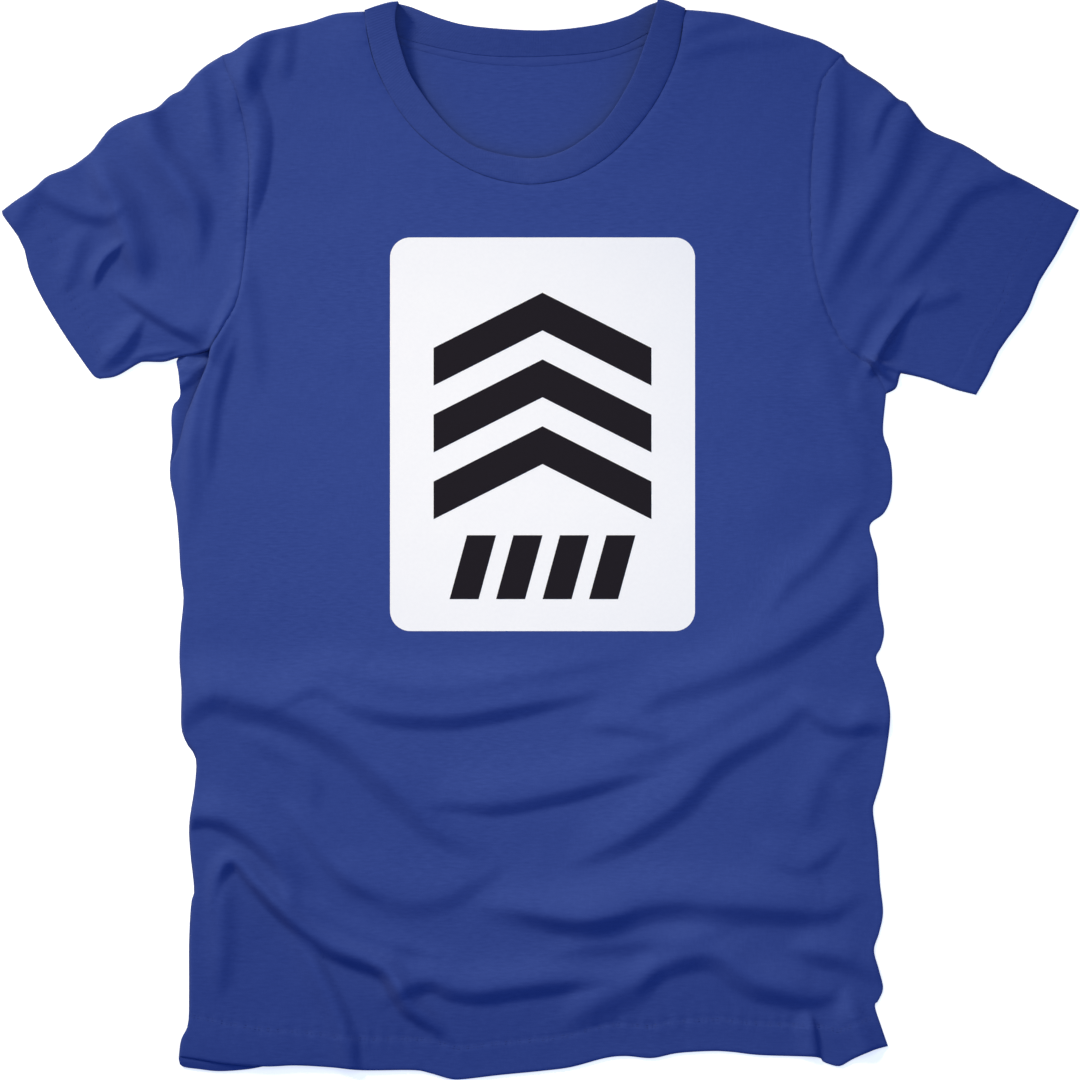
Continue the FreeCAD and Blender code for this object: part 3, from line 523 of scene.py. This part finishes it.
neck_gap, _, neck_along = away_from(front_plan, neck_seam)
front_height -= NECK_DIP * np.exp(-((neck_gap / (2 * MM)) ** 2))
front_height += 0.12 * MM * seam_pucker(neck_along, 0.33, 6) * np.exp(-((neck_gap / (6 * MM)) ** 2))
for edge, sag in (
    (front_hem, 0.15), (left_side, 0.3), (right_side, 0.5), (left_armpit, 0),
    (left_shoulder, 0.1), (right_shoulder, 0.2),
):
    gap, _, _ = away_from(front_plan, edge)
    front_height = np.minimum(front_height, rounded_edge(front_height, gap, CLOTH, sag))
corner_gap = (front_plan - metres((236, 1063))) / np.array([100 * MM, 34 * MM])
front_height += 3.2 * MM * np.exp(-(corner_gap ** 2).sum(axis=-1))
front_height = np.maximum(front_height, 1.2 * CLOTH)


def with_turned_hem(plan, height, depth_row, thickness):
    # Adds the part of the hem that is turned up inside, from its stitching to the edge.
    inner = np.maximum(height[depth_row:depth_row + 1] - thickness, 0.9 * CLOTH)
    inside = np.dstack([plan[depth_row:depth_row + 1], inner])
    under = np.dstack([plan[:1], np.maximum(height[:1] - thickness, 0.9 * CLOTH)])
    return np.vstack([inside, under, np.dstack([plan, height])])


def nearest_row(gap, wanted):
    return int(np.argmin(np.abs(gap.mean(axis=1) - wanted)))


hem_row = nearest_row(hem_gap, hem_inner)
front = cloth_mesh("front", with_turned_hem(front_plan, front_height, hem_row, 1.1 * MM))
front.data.materials.append(jersey)
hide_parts("front_panel")
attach(front, "root")


# The back: one panel of the same jersey, flat on the table under the front, seen only inside
# the neck, at the left armpit and where its hem shows below the front's.

BACK_HEM = [
    (179, 1058), (182, 1066), (200, 1069), (220, 1071), (248, 1069), (270, 1065), (300, 1061),
    (362, 1066), (413, 1066), (452, 1075), (499, 1071), (571, 1063), (626, 1052), (712, 1047),
    (815, 1053), (840, 1062), (887, 1044),
]
BACK_LEFT_ARMHOLE = [
    (170, 465), (173, 444), (172, 418), (174, 405), (181, 395), (179, 372), (178, 358), (200, 345), (225, 320), (238, 290),
    (244, 230), (246, 165), (240, 110), (223, 55),
]
BACK_NECK = [(365, 12), (390, 32), (417, 43), (476, 55), (534, 57), (607, 51), (647, 34), (685, 10)]
UNDER_BAND = 3 * MM
back_hem = smooth_line(metres(BACK_HEM), 300)
back_left_armhole = smooth_line(metres(BACK_LEFT_ARMHOLE), ARM_ROWS)
back_neck = smooth_line(metres(BACK_NECK), 200)
neck_under = np.sin(np.linspace(0, math.pi, NECK_COLUMNS + 1)) * UNDER_BAND
back_neck_edge = np.column_stack([
    neck_seam[:, 0], np.interp(neck_seam[:, 0], back_neck[:, 0], back_neck[:, 1]) + neck_under,
])
back_plan = laid_panel(
    back_hem, up_the_side(left_side, back_left_armhole), back_neck_edge, right_edge
)
BACK_FOLDS = [
    (4.4, 3, 12, 0.1, [(198, 346), (193, 368), (191, 386), (189, 404), (186, 424), (181, 446), (176, 470)]),
    (2.6, 3, 2.4, 0.3, [(166, 374), (178, 372), (190, 373), (204, 368), (216, 360)]),
    (2.4, 3, 2.4, 0.3, [(168, 394), (180, 388), (192, 380), (204, 372)]),
    (2.6, 8, 4.5, 0.2, [(130, 1052), (162, 1060), (184, 1064), (206, 1067), (232, 1068), (256, 1066), (300, 1064)]),
]
back_height = CLOTH + fold_height(back_plan, BACK_FOLDS)
gusset_low, gusset_high = metres((0, 425))[1], metres((0, 340))[1]
at_gusset = (back_plan[:, 0, 1] > gusset_low) & (back_plan[:, 0, 1] < gusset_high)
at_back_hem = back_plan[:, 0, 1] < metres((0, 1035))[1]
kept = at_gusset | at_back_hem | (np.arange(len(back_plan)) % 3 == 0) | (np.arange(len(back_plan)) == len(back_plan) - 1)
back = cloth_mesh("back", np.dstack([back_plan, back_height])[kept])
back.data.materials.append(jersey)
thick = back.modifiers.new("thickness", "SOLIDIFY")
thick.thickness = 0.5 * MM
thick.offset = -1
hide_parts("back_panel")
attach(back, "root")


# The sleeves: each one piece of jersey folded along the top of the arm, seamed underneath and
# lying flat, with a hem turned up inside the cuff. The left one is rumpled near the shoulder.

LEFT_TOP = [
    (223, 55), (207, 65), (193, 77), (183, 89), (170, 96), (155, 109), (131, 117), (112, 127),
    (102, 138), (93, 150), (84, 158), (69, 168), (48, 176), (33, 189), (15, 201), (2, 211),
]
LEFT_CUFF = [
    (2, 211), (4, 217), (19, 238), (27, 257), (29, 269), (41, 296), (62, 331), (79, 356),
    (93, 375), (100, 379),
]
LEFT_UNDERARM = [
    (210, 351), (196, 355), (178, 358), (164, 362), (145, 362), (138, 364), (117, 376), (100, 379),
]
RIGHT_TOP = [
    (843, 55), (850, 64), (881, 84), (898, 99), (907, 103), (919, 119), (931, 131), (962, 144),
    (984, 157), (1003, 170), (1022, 179), (1053, 196), (1079, 210),
]
RIGHT_CUFF = [
    (1079, 210), (1057, 253), (1039, 282), (1026, 313), (1000, 349), (988, 374), (976, 395),
]
RIGHT_UNDERARM = [(886, 394), (896, 388), (900, 375), (904, 374), (929, 380), (953, 389), (976, 395)]
SLEEVE_ROWS = 96
SLEEVE_COLUMNS = 110
LOWER_COLUMNS = 14
CUFF_HEM = 19 * MM
TUCK = 1.6 * MM


def make_sleeve(name, top, cuff, under, seam, tuck, seed):
    across = np.linspace(0, 1, SLEEVE_COLUMNS + 1)
    lines = [smooth_line(metres(line), SLEEVE_COLUMNS) for line in (seam, cuff)]
    edges = [smooth_line(metres(line), SLEEVE_ROWS) for line in (top, under)]
    length = np.linalg.norm(np.diff(edges[0], axis=0), axis=1).sum()
    along = np.concatenate([
        [0], EDGE_STEPS / length, np.linspace(EDGE_STEPS[-1] / length, 1 - EDGE_STEPS[-1] / length, SLEEVE_ROWS)[1:-1],
        1 - EDGE_STEPS[::-1] / length, [1],
    ])
    plan = stretched(lines[0], lines[1], evenly(edges[0], along), evenly(edges[1], along), across, along)
    height = cloth_height(plan)
    seam_gap, _, seam_along = away_from(plan, lines[0])
    height -= SEAM_DIP * np.exp(-((seam_gap / SEAM_SPREAD) ** 2))
    height += 0.2 * MM * seam_pucker(seam_along, 0.26, seed) * np.exp(-((seam_gap / (6 * MM)) ** 2))
    cuff_gap, _, cuff_along = away_from(plan, lines[1])
    step = (cuff_gap - CUFF_HEM) / MM
    height += 0.2 * MM * (1 - ease((step + 1) / 1.5)) - 0.15 * MM * np.exp(-((step / 1.5) ** 2))
    height += 0.12 * MM * seam_pucker(cuff_along, 0.14, seed) * np.exp(-((step / 7) ** 2))
    for edge, sag in ((edges[0], 0.1), (edges[1], 0.4), (lines[1], 0.2)):
        gap, _, _ = away_from(plan, edge)
        height = np.minimum(height, rounded_edge(height, gap, CLOTH, sag))
    height = np.maximum(height, 1.4 * CLOTH)
    lower_across = np.linspace(1, 0, LOWER_COLUMNS)[1:-1]
    lower_plan = stretched(
        np.array([evenly(lines[0], [share])[0] for share in lower_across]),
        np.array([evenly(lines[1], [share])[0] for share in lower_across]),
        evenly(edges[1], along), evenly(edges[0], along), 1 - lower_across, along,
    )
    height[0] -= 0.25 * MM
    upper = np.dstack([plan, height])
    lower = np.dstack([lower_plan, np.full(lower_plan.shape[:2], 0.15 * MM)])
    tube = np.hstack([upper, lower])
    inside = tube.copy()
    inside[:, :SLEEVE_COLUMNS + 1, 2] = np.maximum(inside[:, :SLEEVE_COLUMNS + 1, 2] - 1.1 * MM, 0.9 * MM)
    inside[:, SLEEVE_COLUMNS + 1:, 2] += 0.6 * MM
    tucked = tube[:1].copy()
    tucked[..., 0] += tuck
    tucked[:, :SLEEVE_COLUMNS + 1, 2] = np.maximum(tucked[:, :SLEEVE_COLUMNS + 1, 2] - 0.8 * MM, 0.9 * MM)
    deep = nearest_row(cuff_gap, CUFF_HEM)
    tube = np.vstack([tucked, tube, inside[-1:], inside[deep:deep + 1]])
    piece = cloth_mesh(name, tube, closed_around=True)
    piece.data.materials.append(jersey)
    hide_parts(name.replace("_cloth", ""))
    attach(piece, "root")
    return piece, plan, height


left_sleeve, left_plan, left_height = make_sleeve(
    "left_sleeve_cloth", LEFT_TOP, LEFT_CUFF, LEFT_UNDERARM, LEFT_ARMHOLE[::-1], TUCK, 1
)
right_sleeve, right_plan, right_height = make_sleeve(
    "right_sleeve_cloth", RIGHT_TOP, RIGHT_CUFF, RIGHT_UNDERARM, RIGHT_ARMHOLE[::-1], -TUCK, 4
)


# The neckband: a ring of rib knit folded double and sewn to the neck by its raw edges. The
# front of it lies on the front, the back of it on the table, and it turns over at each side.

FRONT_FREE = [
    (399, 4), (396, 16), (397, 32), (404, 58), (413, 80), (437, 114), (461, 138), (485, 151),
    (529, 159), (558, 154), (582, 141), (607, 119), (631, 80), (645, 44), (654, 16), (657, 2),
]
BACK_FREE = [(399, 4), (413, 8), (441, 19), (475, 27), (540, 31), (592, 26), (626, 17), (645, 7), (657, 2)]
BAND_STATIONS = 150
RIB_PITCH = 1.8 * MM
BAND_TURN = 9
RIB_THICKNESS = 1.1 * MM
LEFT_BAND_TILT = 1.6 * MM
RIGHT_BAND_TILT = 5.4 * MM
BACK_BAND_TILT = 4.0 * MM
FOLD_BULGE = 1.3 * MM
BAND_SECTION = [
    (0.0, -0.5), (0.0, 0.05), (0.03, 0.26), (0.08, 0.4), (0.16, 0.47), (0.3, 0.5), (0.5, 0.5), (0.7, 0.48),
    (0.85, 0.42), (0.94, 0.3), (0.98, 0.15), (1.0, 0.0), (0.98, -0.2), (0.94, -0.36),
    (0.85, -0.46), (0.7, -0.5), (0.5, -0.5), (0.3, -0.5), (0.12, -0.5), (0.04, -0.5),
]
front_free = smooth_line(metres(FRONT_FREE), BAND_STATIONS)
back_free = smooth_line(metres(BACK_FREE), BAND_STATIONS)
band_seam = smooth_line(metres(NECK_SEAM), BAND_STATIONS)
band_back_seam = smooth_line(metres(BACK_NECK), BAND_STATIONS)
BACK_BAND_LEVEL = 0.75 * MM
NECK_LOFT = 1.0


def front_band_level(turn, share):
    # The middle of the rib: low at its seam, and at the sides higher towards its free edge.
    most = LEFT_BAND_TILT + (RIGHT_BAND_TILT - LEFT_BAND_TILT) * float(ease(turn))
    tilt = most * abs(math.cos(turn * math.pi)) ** 0.8
    crown = 0.45 * MM * (1 - math.exp(-share / 0.08)) - 0.45 * MM - 0.7 * MM * share * math.sin(turn * math.pi) ** 2
    return FRONT_TOP + LOFT * NECK_LOFT + float(neck_rise(turn)) + tilt * share + crown - RIB_THICKNESS / 2


def band_station(seam, free, end, turned, out):
    # One line of points round the band's thickness, turned over by an angle at a neck point.
    points = []
    for share, side in BAND_SECTION:
        upper = front_band_level(end, share)
        middle = (upper + BACK_BAND_LEVEL) / 2
        radius = (upper - BACK_BAND_LEVEL) / 2
        round_off = math.sin(math.pi / 2 * min(share / 0.75, 1)) ** 0.7 * (1 - 0.5 * max(share - 0.8, 0) / 0.2)
        plan = seam + (free - seam) * share + out * math.sin(turned) * round_off * (FOLD_BULGE + side * RIB_THICKNESS)
        level = middle + (radius + side * RIB_THICKNESS) * math.cos(turned)
        points.append((plan[0], plan[1], level))
    return points


def make_neckband():
    stations = []
    nowhere = np.zeros(2)
    for k in range(BAND_STATIONS + 1):
        stations.append(band_station(band_seam[k], front_free[k], k / BAND_STATIONS, 0, nowhere))
    for end in (BAND_STATIONS, 0):
        if end == 0:
            for k in range(BAND_STATIONS, -1, -1):
                station = np.array(band_station(band_back_seam[k], back_free[k], 0.5, math.pi, nowhere))
                lift = BACK_BAND_TILT * math.sin(math.pi * k / BAND_STATIONS) ** 0.6
                station[:, 2] += lift * np.array([share for share, _ in BAND_SECTION])
                stations.append([tuple(point) for point in station])
        fold = front_free[end] - band_seam[end]
        out = np.array([-fold[1], fold[0]]) / np.linalg.norm(fold)
        out = out if out[1] > 0 else -out
        for step in range(1, BAND_TURN):
            turned = math.pi * step / BAND_TURN
            turned = turned if end else math.pi - turned
            stations.append(band_station(band_seam[end], front_free[end], end / BAND_STATIONS, turned, out))
    return np.array(stations + stations[:1])


band_points = make_neckband()
neckband = cloth_mesh("neckband_rib", band_points, closed_around=True)
rib = knit_material("blue_rib", colour(49, 68, 136), colour(38, 56, 122), colour(62, 82, 150), 0.3)
rib_lines = neckband.data.uv_layers.new(name="along_the_band")
around = np.zeros(len(neckband.data.loops), int)
neckband.data.loops.foreach_get("vertex_index", around)
middle_line = band_points.mean(axis=1)
run = np.concatenate([[0], np.cumsum(np.linalg.norm(np.diff(middle_line, axis=0), axis=1))])
place = np.column_stack([run[around // len(BAND_SECTION)], np.zeros(len(around))])
rib_lines.uv.foreach_set("vector", place.ravel())
nodes, links = rib.node_tree.nodes, rib.node_tree.links
band_way = nodes.new("ShaderNodeUVMap")
band_way.uv_map = "along_the_band"
wave = nodes.new("ShaderNodeTexWave")
wave.inputs["Scale"].default_value = math.pi / 10 / RIB_PITCH
wave.inputs["Distortion"].default_value = 0.6
links.new(band_way.outputs["UV"], wave.inputs["Vector"])
ribs = nodes.new("ShaderNodeBump")
ribs.inputs["Strength"].default_value = 0.3
ribs.inputs["Distance"].default_value = 0.0003
links.new(wave.outputs["Fac"], ribs.inputs["Height"])
shader = nodes["Principled BSDF"]
links.new(shader.inputs["Normal"].links[0].from_socket, ribs.inputs["Normal"])
links.new(ribs.outputs["Normal"], shader.inputs["Normal"])
neckband.data.materials.append(rib)
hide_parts("neckband")
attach(neckband, "root")


# The neck tape: a narrow strip of jersey sewn over the back neck seam, inside the shirt.

TAPE_TOP = [(388, 22), (404, 34), (417, 39), (476, 51), (534, 53), (607, 47), (642, 33), (660, 20)]
TAPE_LOW = [(384, 32), (402, 44), (417, 50), (471, 62), (522, 66), (558, 65), (607, 58), (646, 44), (664, 30)]
TAPE_STATIONS = 120
tape_top = smooth_line(metres(TAPE_TOP), TAPE_STATIONS)
tape_low = smooth_line(metres(TAPE_LOW), TAPE_STATIONS)
TAPE_SECTION = [
    (0.0, 0.5), (0.1, 0.8), (0.25, 1.0), (0.45, 1.05), (0.65, 1.0), (0.82, 0.75), (0.93, 0.4), (1.0, 0.0),
]
tape_rows = []
for share, lift in TAPE_SECTION:
    plan = tape_top * (1 - share) + tape_low * share
    tape_rows.append(np.column_stack([plan, np.full(TAPE_STATIONS + 1, 0.75 * MM + lift * 0.45 * MM)]))
tape = cloth_mesh("neck_tape_strip", np.array(tape_rows))
tape_cloth = knit_material("blue_tape", colour(50, 69, 138), colour(40, 58, 126), colour(62, 82, 150), 0.3)
tape.data.materials.append(tape_cloth)
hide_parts("neck_tape")
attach(tape, "root")


# The stitching: two rows of short thread stitches hold each turned hem.

STITCH_LENGTH = 2.7 * MM
STITCH_GAP = 0.6 * MM
STITCH_WIDTH = 0.4 * MM
ROW_SPACING = 2

thread = knit_material("blue_thread", colour(46, 64, 132), colour(40, 58, 126), colour(54, 72, 141), 0.3)


def add_stitches(name, lines):
    corners = []
    faces = []
    for line in lines:
        steps = np.linalg.norm(np.diff(line, axis=0), axis=1)
        total = steps.sum()
        pitch = STITCH_LENGTH + STITCH_GAP
        count = int(total / pitch)
        starts = evenly(line, np.arange(count) * pitch / total)
        ends = evenly(line, (np.arange(count) * pitch + STITCH_LENGTH) / total)
        for start, end in zip(starts, ends):
            way = (end - start) / max(np.linalg.norm(end - start), 1e-9)
            side = np.array([-way[1], way[0], 0]) * STITCH_WIDTH / 2
            lift = np.array([0, 0, 0.1 * MM])
            first = len(corners)
            middle = (start + end) / 2
            corners += [start, end, middle + side, middle - side, middle + lift, middle - lift]
            for a, b in ((2, 4), (4, 3), (3, 5), (5, 2)):
                faces.append((first, first + a, first + b))
                faces.append((first + 1, first + b, first + a))
    mesh = bpy.data.meshes.new(name)
    mesh.from_pydata([tuple(corner) for corner in corners], [], faces)
    mesh.shade_smooth()
    piece = bpy.data.objects.new(name, mesh)
    bpy.context.scene.collection.objects.link(piece)
    piece.data.materials.append(thread)
    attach(piece, "root")
    return piece


front_surface = np.dstack([front_plan, front_height])
hem_lines = []
for below in (0, 1.6 * MM):
    stitched = np.argmax(past_hem + below > 0, axis=0)
    share = [(past_hem[row, k] + below) / (past_hem[row, k] - past_hem[row - 1, k]) for k, row in enumerate(stitched)]
    over = front_surface[stitched, np.arange(len(stitched))]
    under = front_surface[stitched - 1, np.arange(len(stitched))]
    hem_lines.append((over + (under - over) * np.array(share)[:, None])[3:-3])
add_stitches("hem_stitches", hem_lines)
for name, plan, height, cuff in (
    ("left_cuff_stitches", left_plan, left_height, LEFT_CUFF),
    ("right_cuff_stitches", right_plan, right_height, RIGHT_CUFF),
):
    gap, _, _ = away_from(plan, smooth_line(metres(cuff), 80))
    cuff_row = nearest_row(gap, CUFF_HEM)
    surface = np.dstack([plan, height - 0.02 * MM])
    add_stitches(name, [surface[cuff_row + k, 3:-3] for k in (0, ROW_SPACING)])


# The print: a pale panel of plastisol ink with rounded corners on the chest, and on it dark
# ink in three stacked chevrons over a row of slanted bars.

INK = 0.1 * MM
PANEL_CORNER = 14 * MM


def ink_material(name, base, other):
    material = bpy.data.materials.new(name)
    material.use_nodes = True
    nodes, links = material.node_tree.nodes, material.node_tree.links
    shader = nodes["Principled BSDF"]
    shader.inputs["Roughness"].default_value = 0.62
    shader.inputs["Specular IOR Level"].default_value = 0.12
    place = nodes.new("ShaderNodeTexCoord")
    grain = nodes.new("ShaderNodeTexNoise")
    grain.inputs["Scale"].default_value = 420
    grain.inputs["Detail"].default_value = 4
    links.new(place.outputs["Object"], grain.inputs["Vector"])
    mix = nodes.new("ShaderNodeMix")
    mix.data_type = "RGBA"
    mix.inputs[6].default_value = base
    mix.inputs[7].default_value = other
    links.new(grain.outputs["Fac"], mix.inputs["Factor"])
    links.new(mix.outputs[2], shader.inputs["Base Color"])
    bump = nodes.new("ShaderNodeBump")
    bump.inputs["Strength"].default_value = 0.12
    bump.inputs["Distance"].default_value = 0.0003
    links.new(grain.outputs["Fac"], bump.inputs["Height"])
    links.new(bump.outputs["Normal"], shader.inputs["Normal"])
    return material


def ink_patch(name, lower, upper, cells, level, material, corner_round=0.0):
    # A patch of ink between a lower and an upper line, laid over the chest.
    across = np.linspace(0, 1, cells[0] + 1)
    up = np.linspace(0, 1, cells[1] + 1)[:, None, None]
    knots = np.linspace(0, 1, len(lower))
    bottom, top = (
        np.stack([np.interp(across, knots, axis) for axis in np.array(line).T], -1) for line in (lower, upper)
    )
    plan = bottom[None] * (1 - up) + top[None] * up
    if corner_round:
        half = np.abs(plan - PRINT_CENTRE)
        inner = PRINT_HALF - corner_round
        over = np.maximum(half - inner, 0)
        reach = np.hypot(over[..., 0], over[..., 1])
        square = np.maximum(over[..., 0], over[..., 1])
        pull = np.where(reach > 0, square / np.maximum(reach, 1e-9), 1)
        plan = PRINT_CENTRE + np.sign(plan - PRINT_CENTRE) * (np.minimum(half, inner) + over * pull[..., None])
    surface = cloth_height(plan)
    grid = np.pad(np.dstack([plan, surface + level]), ((1, 1), (1, 1), (0, 0)), mode="edge")
    skirt = np.pad(surface - INK, 1, mode="edge")
    for edge in (np.s_[0], np.s_[-1], np.s_[:, 0], np.s_[:, -1]):
        grid[edge + (2,) if isinstance(edge, tuple) else (edge, slice(None), 2)] = skirt[edge]
    piece = cloth_mesh(name, grid)
    columns = grid.shape[1] - 1
    rows = grid.shape[0] - 1
    flat = np.zeros((rows, columns), bool)
    flat[1:-1, 1:-1] = True
    piece.data.polygons.foreach_set("use_smooth", flat.ravel())
    piece.data.set_sharp_from_angle(angle=math.radians(30))
    piece.data.materials.append(material)
    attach(piece, "root")
    return piece


white_ink = ink_material("white_ink", colour(243, 243, 246), colour(249, 249, 251))
dark_ink = ink_material("dark_ink", colour(7, 3, 16), colour(13, 9, 24))
left_low = PRINT_CENTRE - PRINT_HALF
right_high = PRINT_CENTRE + PRINT_HALF
panel = ink_patch(
    "print_panel_ink", [left_low, (right_high[0], left_low[1])], [(left_low[0], right_high[1]), right_high],
    (84, 108), INK, white_ink, PANEL_CORNER,
)
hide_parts("print_panel")

CHEVRON_HALF = 75 * MM
CHEVRON_RISE = 38 * MM
CHEVRON_STROKE = 26 * MM
CHEVRON_PITCH = 46 * MM
BAR_WIDTH = 20 * MM
BAR_HEIGHT = 44 * MM
BAR_SLANT = 12 * MM
BAR_PITCH = 32 * MM
left_foot = PRINT_CENTRE[0] - CHEVRON_HALF
right_foot = PRINT_CENTRE[0] + CHEVRON_HALF
for number in range(3):
    base = PRINT_CENTRE[1] + PRINT_HALF[1] - 2 * CHEVRON_RISE - number * CHEVRON_PITCH
    upper = [(left_foot, base), (PRINT_CENTRE[0], base + CHEVRON_RISE), (right_foot, base)]
    lower = [(x, y - CHEVRON_STROKE) for x, y in upper]
    ink_patch("chevron_%d" % (number + 1), lower, upper, (72, 10), 2 * INK, dark_ink)
for number in range(4):
    left = PRINT_CENTRE[0] + (number - 2) * BAR_PITCH
    foot = PRINT_CENTRE[1] - PRINT_HALF[1] + BAR_HEIGHT / 2
    lower = [(left, foot), (left + BAR_WIDTH, foot)]
    upper = [(x + BAR_SLANT, y + BAR_HEIGHT) for x, y in lower]
    ink_patch("bar_%d" % (number + 1), lower, upper, (10, 18), 2 * INK, dark_ink)
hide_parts("print_motifs")


# The table top, the daylight from the upper left and the camera that looks straight down.

floor_mesh = bpy.data.meshes.new("floor")
FLOOR = 3.0
floor_mesh.from_pydata(
    [(-FLOOR, -FLOOR, 0), (FLOOR, -FLOOR, 0), (FLOOR, FLOOR, 0), (-FLOOR, FLOOR, 0)], [], [(0, 1, 2, 3)]
)
floor = bpy.data.objects.new("floor", floor_mesh)
bpy.context.scene.collection.objects.link(floor)
floor.location.z = low[2] - 0.2 * MM
paper = bpy.data.materials.new("paper")
paper.use_nodes = True
nodes, links = paper.node_tree.nodes, paper.node_tree.links
shader = nodes["Principled BSDF"]
shader.inputs["Base Color"].default_value = (0.8, 0.8, 0.8, 1)
shader.inputs["Roughness"].default_value = 0.9
shader.inputs["Specular IOR Level"].default_value = 0.0
path = nodes.new("ShaderNodeLightPath")
looking = path.outputs["Is Camera Ray"]
for other in ("Is Glossy Ray", "Is Transmission Ray"):
    added = nodes.new("ShaderNodeMath")
    added.operation = "ADD"
    links.new(looking, added.inputs[0])
    links.new(path.outputs[other], added.inputs[1])
    looking = added.outputs["Value"]
seen = nodes.new("ShaderNodeMath")
seen.operation = "MULTIPLY"
seen.inputs[1].default_value = 0.68
links.new(looking, seen.inputs[0])
shader.inputs["Emission Color"].default_value = (1, 1, 1, 1)
links.new(seen.outputs["Value"], shader.inputs["Emission Strength"])
floor_mesh.materials.append(paper)

world = bpy.data.worlds.new("daylight")
bpy.context.scene.world = world
world.use_nodes = True
nodes, links = world.node_tree.nodes, world.node_tree.links
sky = nodes["Background"]
sky.inputs["Color"].default_value = (0.26, 0.69, 1.62, 1)
sky.inputs["Strength"].default_value = 0.3
white = nodes.new("ShaderNodeBackground")
white.inputs["Strength"].default_value = 1.0
path = nodes.new("ShaderNodeLightPath")
looking = path.outputs["Is Camera Ray"]
for other in ("Is Glossy Ray", "Is Transmission Ray"):
    added = nodes.new("ShaderNodeMath")
    added.operation = "ADD"
    links.new(looking, added.inputs[0])
    links.new(path.outputs[other], added.inputs[1])
    looking = added.outputs["Value"]
choose = nodes.new("ShaderNodeMixShader")
links.new(looking, choose.inputs["Fac"])
links.new(sky.outputs["Background"], choose.inputs[1])
links.new(white.outputs["Background"], choose.inputs[2])
links.new(choose.outputs["Shader"], nodes["World Output"].inputs["Surface"])

KEY_DISTANCE = 3.2
KEY_AIM = (-0.035, 0.0, 0)
KEY_SPREAD = 0.22
KEY_HEIGHT = math.radians(31)
lamp = bpy.data.lights.new("window", "AREA")
lamp.energy = 3.6
lamp.size = 0.85
lamp.spread = 2 * math.atan(KEY_SPREAD)
lamp.color = (1.0, 0.82, 0.5)
window = bpy.data.objects.new("window", lamp)
bpy.context.scene.collection.objects.link(window)
way = np.array([-SHADE_WAY[0] * math.cos(KEY_HEIGHT), -SHADE_WAY[1] * math.cos(KEY_HEIGHT), math.sin(KEY_HEIGHT)])
way = way / np.linalg.norm(way)
window.location = KEY_AIM + way * KEY_DISTANCE
window.rotation_euler = Vector(-way).to_track_quat("-Z", "Y").to_euler()

soft_lamp = bpy.data.lights.new("overhead", "AREA")
soft_lamp.energy = 1.5
soft_lamp.size = 0.3
soft_lamp.color = (1.0, 0.95, 0.75)
overhead = bpy.data.objects.new("overhead", soft_lamp)
bpy.context.scene.collection.objects.link(overhead)
overhead.location = (0, 0.06, 0.7)
overhead.visible_camera = False

CAMERA_HEIGHT = 3.2
SENSOR = 36.0
FRAME_PIXELS = 1080
lens = bpy.data.cameras.new("camera")
lens.sensor_width = SENSOR
lens.lens = SENSOR * CAMERA_HEIGHT / (FRAME_PIXELS * PIXEL)
camera = bpy.data.objects.new("camera", lens)
bpy.context.scene.collection.objects.link(camera)
middle = metres((FRAME_PIXELS / 2, FRAME_PIXELS / 2))
camera.location = (middle[0], middle[1], CAMERA_HEIGHT)
bpy.context.scene.camera = camera
bpy.context.scene.view_settings.view_transform = "Standard"
